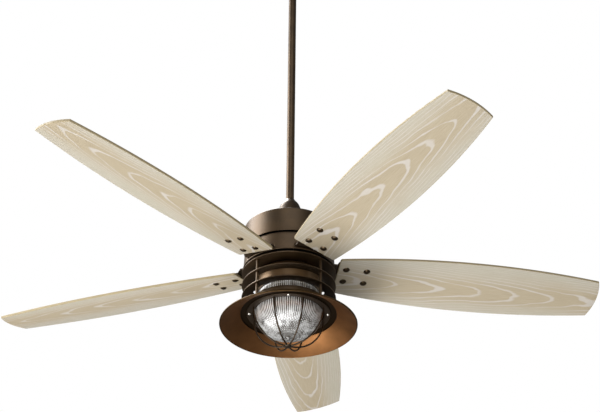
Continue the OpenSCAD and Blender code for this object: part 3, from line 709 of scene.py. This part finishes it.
class FAN_OT_suspension(bpy.types.Operator):
    """Canopy, hanger ball, downrod and coupling cover"""
    bl_idname = "fan.suspension"
    bl_label = "Suspension"

    def execute(self, context):
        rod = context.scene.fan_body.rod_radius
        self.canopy(rod)
        low, high, radius = node_span("downrod")
        wall, edge = 2 * MM, 0.3 * MM
        shell("downrod_tube", "downrod", sheet_ring(low, high, radius - wall, radius, edge),
              steps=SMALL_STEPS)
        self.cover(rod)
        self.ball(rod)
        return {"FINISHED"}

    def canopy(self, rod):
        """A drum that turns in to a collar: quarter ellipse below a straight side."""
        low, high, radius = node_span("canopy")
        wall, hole = 1.8 * MM, rod + 15 * MM
        collar = hole + 8 * MM
        shoulder = low + 0.55 * (high + MM - low)
        a = np.linspace(0, math.pi / 2, 25)

        def curve(inset):
            """The quarter ellipse, drawn in by the wall."""
            return arc(collar, shoulder, radius - inset - collar, low + inset - shoulder, a)
        outline = np.concatenate([
            [[radius - wall, high], [radius, high]], curve(0), [[hole, low], [hole, low + wall]],
            curve(wall)[::-1]])
        shell("canopy_shell", "canopy", outline, body="ceiling_mount", sharp=50)
        points, faces = screw_of(9 * MM, 2.6 * MM, 1.2 * MM, 2 * MM, 7 * MM)
        sideways = points[:, [2, 1, 0]] * np.array([-1, 1, 1])
        z = sum(node_span("canopy_screws")[:2]) / 2
        new_piece("canopy_thumb_screws", *ring_of((sideways, faces), 2, radius, 0, z),
                  finishes()["screw"], "ceiling_mount", "screw_bronze", ["canopy_screws"])

    def cover(self, rod):
        """Bell cover: a slightly hollow cone with a lip at the foot and a rolled neck."""
        low, high, foot = node_span("coupling_cover")
        tall, wall, lip = high - low, 1.6 * MM, 5 * MM
        neck, middle = rod + 0.3 * MM, foot * 0.64
        line = [[foot, 0], [foot, 4 * MM], [foot * 0.92, 24 * MM], [middle, tall - 24 * MM],
                [middle * 0.86, tall - 14 * MM], [neck + wall + 3 * MM, tall - lip]]
        outer = rounded(line, [0, 3 * MM, 60 * MM, 40 * MM, 30 * MM, 0], 8)
        inner = outer - np.array([wall, 0])
        outline = np.concatenate([
            outer, [[neck + wall, tall], [neck, tall], [neck, tall - lip - wall]], inner[::-1]])
        outline[:, 1] += low
        shell("coupling_bell", "coupling_cover", outline, body="coupling_cover", sharp=40)

    def ball(self, rod):
        """Hanger ball with a bore for the rod."""
        low, high, radius = node_span("hanger_ball")
        middle, bore = (low + high) / 2, rod - 0.01 * MM
        top = math.acos(rod / radius)
        a = np.linspace(-top, top, 40)
        outline = np.concatenate([arc(0, middle, radius, radius, a), [[bore, high], [bore, low]]])
        shell("hanger_ball_turned", "hanger_ball", outline, "black", slot="black_steel",
              steps=SMALL_STEPS)


class FAN_OT_housing(bpy.types.Operator):
    """Fixed upper housing and the turning band under it"""
    bl_idname = "fan.housing"
    bl_label = "Motor housing"

    def execute(self, context):
        body = context.scene.fan_body
        low, high, radius = node_span("upper_housing")
        wall, edge, corner, hole = body.wall, body.edge, body.housing_edge, 10 * MM
        shell("upper_housing_shell", "upper_housing", rounded(
            [[hole, high - wall], [hole, high], [radius, high], [radius, low],
             [radius - wall, low], [radius - wall, high - wall]],
            [0, 0, corner, edge, edge, corner - wall], 6))
        self.band(context.scene.fan_blades, body.wall)
        return {"FINISHED"}

    def band(self, blades, wall):
        """Slightly flared band: a one degree grid whose slot cells are left out, made solid."""
        low, high, foot = node_span("rotor_band")
        top = foot - 3.5 * MM
        slot_low = BLADE_PLANE + blades.thickness - 0.3 * MM
        slot_high = slot_low + blades.arm_thickness + 1.6 * MM
        case = 87 * MM
        heights = np.concatenate([
            [low, low + 0.6 * MM, low + 2.4 * MM, low + 3.2 * MM, slot_low, slot_high],
            np.linspace(slot_high, high - 1.2 * MM, 6)[1:]])
        share = (heights - low) / (high - low)
        radii = foot - 1.2 * MM + (top - foot + 1.2 * MM) * share
        lip = heights < low + 3 * MM
        radii[lip] = foot - 0.3 * MM * (heights[lip] == low)
        shoulder = [[top - 0.4 * MM, high - 0.4 * MM], [top - 1.2 * MM, high],
                    [(top + case) / 2, high], [case, high]]
        profile = np.concatenate([np.stack([radii, heights], -1), shoulder])
        steps = 360
        points = spun(swept(profile, steps), blades.azimuth)
        faces = quads(len(profile), steps)
        row, col = np.divmod(np.arange(len(faces)), steps)
        reach = int(round(math.degrees(math.asin((blades.arm_width / 2 + MM) / top))))
        from_arm = (col + reach) % (steps // BLADES)
        slot_row = 4
        in_slot = (row == slot_row) & (from_arm < 2 * reach)
        piece = new_piece("rotor_band_sheet", points, faces[~in_slot], finishes()["bronze"],
                          "rotor", "bronze_paint", ["rotor_band"], closed=False)
        solid = piece.modifiers.new("wall", "SOLIDIFY")
        solid.thickness = wall
        solid.offset = -1


class FAN_OT_blades(bpy.types.Operator):
    """Blades, blade arms and blade screws"""
    bl_idname = "fan.blades"
    bl_label = "Blades"

    def execute(self, context):
        blades = context.scene.fan_blades
        look = finishes()
        shift = [(0.0, 0.0), (0.43, 0.012), (0.91, -0.015), (1.37, 0.006), (1.83, -0.008)]
        points, faces, marks = plate(self.outline(blades), blades.thickness, 1.1 * MM)
        arm = self.arm(blades)
        for k in range(BLADES):
            uv = points[:, :2] * np.array([1, (-1) ** k]) + np.array(shift[k])
            new_piece(f"oak_blade_{k + 1}", self.placed(blades, points, k), faces, look["oak"],
                      "rotor", "washed_oak", [f"blade_{k + 1}"], uv=uv, marks={"rim": marks},
                      smooth=marks > 0)
            new_piece(f"blade_arm_casting_{k + 1}", self.placed(blades, arm[0], k, False), arm[1],
                      look["arm"], "rotor", "arm_bronze", [f"blade_arm_{k + 1}"])
        self.screws(blades)
        return {"FINISHED"}

    @staticmethod
    def outline(blades):
        """Side lines: straight taper plus a parabola; the tip is a shallow arc."""
        corner = 6 * MM
        inner = blades.root + corner
        half_root, half_tip = blades.root_width / 2, blades.tip_width / 2
        s = np.linspace(0, 1, 60)
        along = inner + (blades.tip - blades.tip_sagitta - inner) * s
        half = half_root + (half_tip - half_root) * s + 2 * blades.bulge * s * (1 - s)
        side = np.stack([along, half], -1)
        arc_r = (half_tip ** 2 + blades.tip_sagitta ** 2) / (2 * blades.tip_sagitta)
        swing = math.asin(half_tip / arc_r)
        a = np.linspace(swing, -swing, 32)[1:-1]
        tip = arc(blades.tip - arc_r, 0, arc_r, arc_r, a)
        a = np.linspace(math.pi, math.pi / 2, 8)[:-1]
        turn = arc(inner, half_root - corner, corner, corner, a)
        mirror = np.array([1, -1])
        return np.concatenate([turn, side, tip, (side * mirror)[::-1], (turn * mirror)[::-1]])

    @staticmethod
    def pitched(blades, points):
        """Points turned by the pitch about the blade's length and by the cone about the root."""
        axis = np.array([blades.pitch_axis, 0, 0])
        c, s = math.cos(blades.pitch), math.sin(blades.pitch)
        about_x = np.array([[1, 0, 0], [0, c, -s], [0, s, c]])
        c, s = math.cos(blades.cone), math.sin(blades.cone)
        about_y = np.array([[c, 0, s], [0, 1, 0], [-s, 0, c]])
        return (points - axis) @ about_x @ about_y + axis

    @classmethod
    def placed(cls, blades, points, k, pitch=True):
        """Points of a blade's own frame put at its place on the rotor."""
        if pitch:
            points = cls.pitched(blades, points)
        return spun(points, blades.azimuth + k * TURN / BLADES) + np.array([0, 0, BLADE_PLANE])

    @classmethod
    def arm(cls, blades):
        """A flat tongue that twists into the pitched paddle on top of the blade.

        Each cross section is a rounded bar; its half width and its share of the pitch are
        smooth functions of the distance from the axis."""
        neck, root = blades.root - 6 * MM, blades.root
        foot, reach, full = 62 * MM, root + 89 * MM, blades.arm_width
        known = [foot, neck - 12 * MM, neck, root, reach - 26 * MM, reach - 8 * MM, reach]
        halves = [28 * MM, 0.5 * full, 0.5 * full, 0.5 * full, 0.43 * full, 0.34 * full, 0.2 * full]
        along = np.concatenate([np.linspace(foot, neck, 12), np.linspace(neck, root, 9)[1:],
                                np.linspace(root, reach, 26)[1:]])
        half = np.interp(along, known, halves)
        thick, r = blades.arm_thickness, 1.0 * MM
        a = np.linspace(0, TURN, 32, endpoint=False) + TURN / 64
        sy, sz = np.sign(np.cos(a)), np.sign(np.sin(a))
        y = sy * (half[:, None] - r) + r * np.cos(a)
        z = sz * (thick / 2 - r) + r * np.sin(a) + thick / 2
        x = np.repeat(along[:, None], len(a), axis=1)
        z = np.broadcast_to(z, x.shape)
        flat = np.stack([x, y, z + blades.thickness + 0.5 * MM], -1)
        tilted = cls.pitched(blades, np.stack([x, y, z + blades.thickness], -1).reshape(-1, 3))
        share = np.clip((along - neck) / (root - neck), 0, 1)[:, None, None]
        grid = flat * (1 - share) + tilted.reshape(flat.shape) * share
        return grid.reshape(-1, 3), bar_faces(*x.shape)

    @classmethod
    def screws(cls, blades):
        """Domed screws under the blades, four to a blade, with their tips on the arm."""
        head = domed_head(blades.screw_head, 3.4 * MM, 0.9 * MM)
        tip = domed_head(5 * MM, 0.8 * MM, 0, 3, 16)
        through = np.array([0, 0, blades.thickness + blades.arm_thickness])
        back, back_faces = tip[0] * np.array([1, 1, -1]) + through, [f[::-1] for f in tip[1]]
        rows, columns = (19 * MM, 69 * MM), (-25 * MM, 15 * MM)
        parts = []
        for k in range(BLADES):
            for along in rows:
                for across in columns:
                    at = np.array([blades.root + along, across, 0])
                    parts.append((cls.placed(blades, head[0] + at, k), head[1]))
                    parts.append((cls.placed(blades, back + at, k), back_faces))
        new_piece("blade_screw_heads", *joined(parts), finishes()["screw"], "rotor",
                  "screw_bronze", ["blade_screws"])


class FAN_OT_light_kit(bpy.types.Operator):
    """Top plate, louvre rings, posts, fitter cup and collar"""
    bl_idname = "fan.light_kit"
    bl_label = "Light kit"

    def execute(self, context):
        body = context.scene.fan_body
        for node, piece, inner in (("kit_top_plate", "kit_plate", 10 * MM),
                                   ("louvre_upper", "louvre_ring_upper", 88 * MM),
                                   ("louvre_lower", "louvre_ring_lower", 88 * MM)):
            low, high, radius = node_span(node)
            shell(piece, node, sheet_ring(low, high, inner, radius, body.edge))
        low, high = node_span("kit_posts")[:2]
        r, post_circle = 3.5 * MM, 103 * MM
        post = turned_solid([[0, low], [r, low], [r, low + MM], [r, high - MM], [r, high],
                             [0, high]], 32)
        new_piece("kit_post_rods", *ring_of(post, 4, post_circle, math.pi / 4),
                  finishes()["bronze"], "fan_body", "bronze_paint", ["kit_posts"])
        self.cup(body.wall)
        self.collar(body.wall, body.edge)
        return {"FINISHED"}

    def cup(self, wall):
        """Drawn cup with a small bead near its foot and a turned-in lip."""
        low, high, radius = node_span("fitter_cup")
        hole, lip = 22 * MM, radius - 9 * MM
        # Painted light: the cup shell uses the lighter copy of the bronze.
        shell("fitter_cup_shell", "fitter_cup", rounded(
            [[hole, high], [radius, high], [radius, low], [lip, low], [lip, low + wall],
             [radius - wall, low + wall], [radius - wall, high - wall], [hole, high - wall]],
            [0, 2.5 * MM, 2 * MM, 0.5 * MM, 0.5 * MM, MM, MM, 0], 5), "cup")

    def collar(self, wall, edge):
        """Upright ring that stands on the shade, flanged at its foot."""
        low, high, radius = node_span("glass_collar")
        inner, wide = 85 * MM, 88 * MM
        shell("glass_collar_ring", "glass_collar", rounded(
            [[inner, low], [radius, low], [radius, low + wall], [wide, low + wall], [wide, high],
             [wide - wall, high], [wide - wall, low + wall], [inner, low + wall]],
            [0, edge, edge, MM, edge, edge, 0.4 * MM, 0], 4))


class FAN_OT_shade(bpy.types.Operator):
    """Flared shade with its rolled rim"""
    bl_idname = "fan.shade"
    bl_label = "Shade"

    def execute(self, context):
        body = context.scene.fan_body
        low, high, radius = node_span("shade")
        flat, hole, wall, rim = 113 * MM, 80 * MM, body.wall, 1.7 * MM
        rim_z, bend_r, bend_z = low + rim, flat + 2 * MM, high - 5 * MM
        s = np.linspace(0, 1, 28)
        flare_r = bend_r + (radius - rim - bend_r) * s
        flare_z = bend_z + (rim_z + wall / 2 - bend_z) * s - 4 * MM * s * (1 - s)
        outer = np.concatenate([[[hole, high], [flat - 1.5 * MM, high], [flat, high - 0.5 * MM],
                                 [flat + 0.6 * MM, high - 3.5 * MM]],
                                np.stack([flare_r, flare_z], -1)[:-1]])
        a = np.linspace(math.radians(150), math.radians(-160), 22)
        bead = arc(radius - rim, rim_z, rim, rim, a)
        under = np.stack([flare_r, flare_z - wall], -1)[:-1][::-1]
        step = [[flat - 0.8 * MM, high - 5.4 * MM], [flat - 1.6 * MM, high - wall - 0.5 * MM],
                [flat - 3 * MM, high - wall], [hole, high - wall]]
        points, faces = turned(np.concatenate([outer, bead, under, step]), body.segments)
        row = np.arange(len(faces)) // body.segments
        turned_back = len(outer) + len(bead)
        inside = (row >= turned_back - 4) & (row < turned_back + len(under))
        new_piece("shade_spinning", points, faces, finishes()["shade"], "fan_body",
                  "shade_bronze_copper", ["shade"], marks={"inside": inside}, sharp=40)
        return {"FINISHED"}


class FAN_OT_glass(bpy.types.Operator):
    """Ribbed glass jar, lamp and socket"""
    bl_idname = "fan.glass"
    bl_label = "Glass and lamp"

    def execute(self, context):
        self.jar(context.scene.fan_glass)
        self.lamp()
        return {"FINISHED"}

    def jar(self, glass):
        """Outer wall with upright ribs that fade on the dome, inner wall with level rings.

        Ribs: the radius gains depth times |sin| of half the rib angle. Rings: the inner
        radius gains a sine of its height."""
        low, high, bead = node_span("glass_jar")
        shade_high = node_span("shade")[1]
        radius, wall, neck = bead - 5 * MM, 3.5 * MM, 72.5 * MM
        dome_top = shade_high - 2 * MM
        dome = dome_top - low - 6 * MM
        ribs, depth, ring_depth = glass.ribs, glass.rib_depth, glass.ring_depth
        a = np.linspace(0, math.pi / 2, 46)[:-1]
        t = np.linspace(0, 1, 8)[:, None]
        neck_line = (np.array([neck, high - 3 * MM]) * (1 - t)
                     + np.array([radius - MM, shade_high + 5.5 * MM]) * t)
        seat = [[bead - MM, shade_high + 4 * MM], [bead, shade_high + 3 * MM],
                [bead, shade_high + MM], [bead - MM, shade_high], [radius, shade_high]]
        ball = arc(0, dome_top, radius, -dome, a)
        nub = [[5 * MM, low + 5.2 * MM], [4 * MM, low + 4 * MM], [3 * MM, low + 1.2 * MM],
               [1.6 * MM, low + 0.2 * MM], [0, low]]
        outer = np.concatenate([[[neck, high], [neck, high - 1.5 * MM]], neck_line, seat,
                                ball[ball[:, 0] > 6 * MM], nub])
        b = np.linspace(math.pi / 2, 0, 80)
        inner = np.concatenate([arc(0, dome_top, radius - wall, wall - dome, b),
                                [[neck - wall, high]]])
        inner[0, 0] = 0
        outline = np.concatenate([outer[::-1], inner[::-1]])
        count = len(outer)

        def ripple(r, z, angle):
            """Ribs outside, rings inside."""
            row = np.arange(len(r))[:, None]
            outside = row < count - 1
            plain = (abs(z - shade_high - 2 * MM) < 3.4 * MM) | (z > high - 2 * MM)
            fade = np.clip((r - 12 * MM) / (45 * MM), 0, 1)
            rib = depth * (np.abs(np.sin(angle * ribs / 2)) - 1.0) * fade
            ring = ring_depth * np.sin(z / (4.2 * MM) * TURN) * np.clip(r / (30 * MM), 0, 1)
            level = z < dome_top
            return np.where(outside, np.where(plain, r, r + rib), np.where(level, r + ring, r))
        new_piece("ribbed_glass_jar", *turned_solid(outline, ribs * 6, ripple),
                  finishes()["glass"], "fan_body", "ribbed_glass", ["glass_jar"], sharp=60)

    def lamp(self):
        """Pear shaped lamp: neck, shoulder and a round end."""
        low, high, radius = node_span("lamp_bulb")
        middle = low + radius
        a = np.linspace(-math.pi / 2, math.radians(38), 34)
        ball = arc(0, middle, radius, radius, a)
        t = np.linspace(0, 1, 14)[1:, None]
        start, end = ball[-1], np.array([13 * MM, high])
        bend = np.array([[15.5 * MM, middle + radius * 1.02]])
        neck = start * (1 - t) ** 2 + 2 * t * (1 - t) * bend + t ** 2 * end
        ball[0, 0] = 0
        outline = np.concatenate([ball, neck, [[0, high]]])
        new_piece("lamp_envelope", *turned_solid(outline, SMALL_STEPS), finishes()["lamp"],
                  "fan_body", "lamp_glass", ["lamp_bulb"])
        low, high, radius = node_span("lamp_socket")
        bore, lip, roof = 13.3 * MM, radius - 2 * MM, high - 4 * MM
        shell("socket_shell", "lamp_socket", rounded(
            [[bore, low], [lip, low], [lip, low + 8 * MM], [radius, low + 10 * MM],
             [radius, high], [6 * MM, high], [6 * MM, roof], [bore, roof]],
            [MM, 1.5 * MM, MM, MM, MM, 0, 0, 0], 5), "porcelain", slot="porcelain",
            steps=SMALL_STEPS)


class FAN_OT_guard(bpy.types.Operator):
    """Wire guard, its ring and its screws"""
    bl_idname = "fan.guard"
    bl_label = "Guard"

    def execute(self, context):
        glass = context.scene.fan_glass
        look = finishes()
        low, high, radius = node_span("guard")
        inner, ring_t = 84 * MM, 2.5 * MM
        wire = glass.wire / 2
        start_r = inner + wire + MM
        start_z = high - ring_t / 2
        end_r, end_z = 5.4 * MM, low + 3.2 * MM
        a = np.linspace(0, math.pi / 2, 44)
        path = np.stack([end_r + (start_r - end_r) * np.cos(a), np.zeros_like(a),
                         start_z - (start_z - end_z) * np.sin(a)], -1)
        section = arc(0, 0, wire, wire, np.linspace(0, TURN, 14, endpoint=False))
        rod = carried(section, path, (0, 1, 0))
        ring = turned(sheet_ring(high - ring_t, high, inner, radius, 0.7 * MM), 160)
        knot_r = 9 * MM
        knot = turned_solid([[0, low], [knot_r * 0.55, low + 0.3 * MM],
                             [knot_r * 0.9, low + 1.6 * MM], [knot_r, low + 3.2 * MM],
                             [knot_r * 0.9, low + 4.8 * MM], [knot_r * 0.5, low + 6.2 * MM],
                             [0, low + 6.4 * MM]], 48)
        wires = ring_of(rod, 8, 0, math.radians(22.5))
        new_piece("guard_cage", *joined([wires, ring, knot]), look["guard"], "fan_body",
                  "guard_bronze", ["guard"], sharp=40)
        length = node_span("guard_screws")[1] - high + ring_t
        screw = screw_of(8 * MM, 2.4 * MM, 0.9 * MM, 2 * MM, length)
        screw_circle = 91.2 * MM
        new_piece("guard_screw_set", *ring_of(screw, 4, screw_circle, 0, high - ring_t),
                  look["bright"], "fan_body", "bright_screw", ["guard_screws"])
        return {"FINISHED"}


class FAN_OT_hardware(bpy.types.Operator):
    """Finishes for the CAD pieces that show as they are"""
    bl_idname = "fan.hardware"
    bl_label = "Hardware"

    def execute(self, context):
        look = finishes()
        coats = {
            "zinc": ["hanger_bracket", "ball_pin", "rod_pin", "coupling_set_screws", "motor_shaft",
                     "housing_screws", "case_screws", "arm_screws", "kit_spacer", "kit_nut",
                     "fitter_screws", "guard_nuts"],
            "black": ["coupling"],
            "motor": ["rotor_case_top", "rotor_case_bottom"],
            "core": ["stator_core", "rotor_ring"],
            "copper_wire": ["stator_windings"],
            "bearing": ["bearing_inner_races", "bearing_balls", "bearing_outer_races"],
            "screw": ["post_screws"],
            "cap": ["lamp_base"],
            "lead": ["supply_leads"],
            "enamel": ["socket_plate"],
            "rubber": ["glass_gasket"],
        }
        for coat, nodes in coats.items():
            for node in nodes:
                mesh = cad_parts[node].data
                mesh.materials.clear()
                mesh.materials.append(look[coat])
        return {"FINISHED"}


class FAN_OT_stage(bpy.types.Operator):
    """Camera, softboxes, world and floor"""
    bl_idname = "fan.stage"
    bl_label = "Stage"

    def execute(self, context):
        stage = context.scene.fan_stage
        context.scene.view_settings.view_transform = "Standard"
        self.camera(context.scene, stage)
        self.world(context.scene, stage.ambient)
        self.lights(stage)
        self.floor(stage.floor_z)
        return {"FINISHED"}

    def camera(self, scene, stage):
        """A camera below the fan, in front of it, looking up."""
        aim = Vector((stage.aim_x, 0, BLADE_PLANE + stage.aim_rise))
        ahead = Vector((0, math.cos(stage.elevation), math.sin(stage.elevation)))
        right = Vector((1, 0, 0))
        up = right.cross(ahead)
        turn = Matrix((right, up, -ahead)).transposed().to_4x4()
        data = bpy.data.cameras.new("fan_camera")
        data.lens = stage.lens
        data.sensor_width = 36
        data.clip_end = 100
        roll = Matrix.Rotation(stage.roll, 4, "Z")
        scene.camera = add_object("fan_camera", data)
        scene.camera.matrix_world = Matrix.Translation(aim - ahead * stage.distance) @ turn @ roll

    def world(self, scene, ambient):
        """White where the camera looks past the fan, softer where it lights it."""
        world = bpy.data.worlds.new("studio")
        world.use_nodes = True
        tree = world.node_tree
        soft, white = tree.nodes["Background"], tree.nodes.new("ShaderNodeBackground")
        for light, strength in ((soft, ambient), (white, 1)):
            light.inputs["Color"].default_value = (1, 1, 1, 1)
            light.inputs["Strength"].default_value = strength
        seen = tree.nodes.new("ShaderNodeLightPath")
        mix = tree.nodes.new("ShaderNodeMixShader")
        for source, end in zip((seen.outputs["Is Camera Ray"], soft.outputs[0], white.outputs[0]),
                               mix.inputs):
            tree.links.new(source, end)
        tree.links.new(mix.outputs[0], tree.nodes["World Output"].inputs["Surface"])
        scene.world = world

    def lights(self, stage):
        """Softboxes round the fan and a sun; the one behind lights matt surfaces only."""
        centre = Vector((0, 0, BLADE_PLANE))
        boxes = {"key": ((-3.0, 0.2, 1.4), 2.6, 2.6), "under": ((-2.3, -0.3, -3.2), 2.6, 2.6),
                 "fill": ((-0.9, -2.6, -3.8), 3.4, 3.0), "front": ((0.2, -3.4, 2.4), 3.0, 2.4),
                 "back": ((0.5, 2.8, -3.0), 2.2, 2.2), "accent": ((2.8, -1.0, 0.1), 0.5, 1.8)}
        for label, (offset, wide, tall) in boxes.items():
            data = bpy.data.lights.new(f"softbox_{label}", "AREA")
            data.shape = "RECTANGLE"
            data.size, data.size_y, data.energy = wide, tall, getattr(stage, label)
            light = add_object(f"softbox_{label}", data)
            place = centre + Vector(offset)
            turn = (centre - place).to_track_quat("-Z", "Y").to_matrix().to_4x4()
            light.matrix_world = Matrix.Translation(place) @ turn
            light.visible_camera = False
            light.visible_glossy = label != "back"
        data = bpy.data.lights.new("studio_sun", "SUN")
        data.energy, data.angle = stage.sun, math.radians(25)
        sun = add_object("studio_sun", data)
        sun.rotation_euler = (math.radians(-24), math.radians(-20), 0)

    def floor(self, height):
        """A wide pale floor far below the hanging fan."""
        half = 60.0
        corners = [(-half, -half), (half, -half), (half, half), (-half, half)]
        mesh = bpy.data.meshes.new("studio_floor")
        mesh.from_pydata([(x, y, height) for x, y in corners], [], [(0, 1, 2, 3)])
        paint = Paint("studio_floor_paint", roughness=0.9)
        mottle = paint.noise(paint.place(), 0.8, 3)
        paint.set("Base Color", paint.mix(mottle, (0.93, 0.92, 0.90, 1), (0.90, 0.89, 0.87, 1)))
        mesh.materials.append(paint.material)
        floor = add_object("studio_floor", mesh)
        floor.visible_glossy = floor.visible_diffuse = False


OPERATORS = (FAN_OT_stage, FAN_OT_suspension, FAN_OT_housing, FAN_OT_blades, FAN_OT_light_kit,
             FAN_OT_shade, FAN_OT_glass, FAN_OT_guard, FAN_OT_hardware)
SETTINGS = {"fan_stage": FanStageSettings, "fan_body": FanBodySettings,
            "fan_blades": FanBladeSettings, "fan_glass": FanGlassSettings,
            "fan_finish": FanFinishSettings}


class VIEW3D_PT_fan(bpy.types.Panel):
    """Sizes, colours and build buttons"""
    bl_label = "Lantern Ceiling Fan"
    bl_space_type = "VIEW_3D"
    bl_region_type = "UI"
    bl_category = "Fan"

    def draw(self, context):
        for label, group in SETTINGS.items():
            settings = getattr(context.scene, label)
            column = self.layout.column(align=True)
            for field in group.__annotations__:
                column.prop(settings, field)
        for operator in OPERATORS:
            self.layout.operator(operator.bl_idname)


CLASSES = (*SETTINGS.values(), *OPERATORS, VIEW3D_PT_fan)


def register():
    for cls in CLASSES:
        bpy.utils.register_class(cls)
    for label, group in SETTINGS.items():
        setattr(bpy.types.Scene, label, PointerProperty(type=group))


def unregister():
    for label in SETTINGS:
        delattr(bpy.types.Scene, label)
    for cls in reversed(CLASSES):
        bpy.utils.unregister_class(cls)


def main():
    register()
    for operator in OPERATORS:
        group, call = operator.bl_idname.split(".")
        getattr(getattr(bpy.ops, group), call)()


if __name__ == "__main__":
    main()
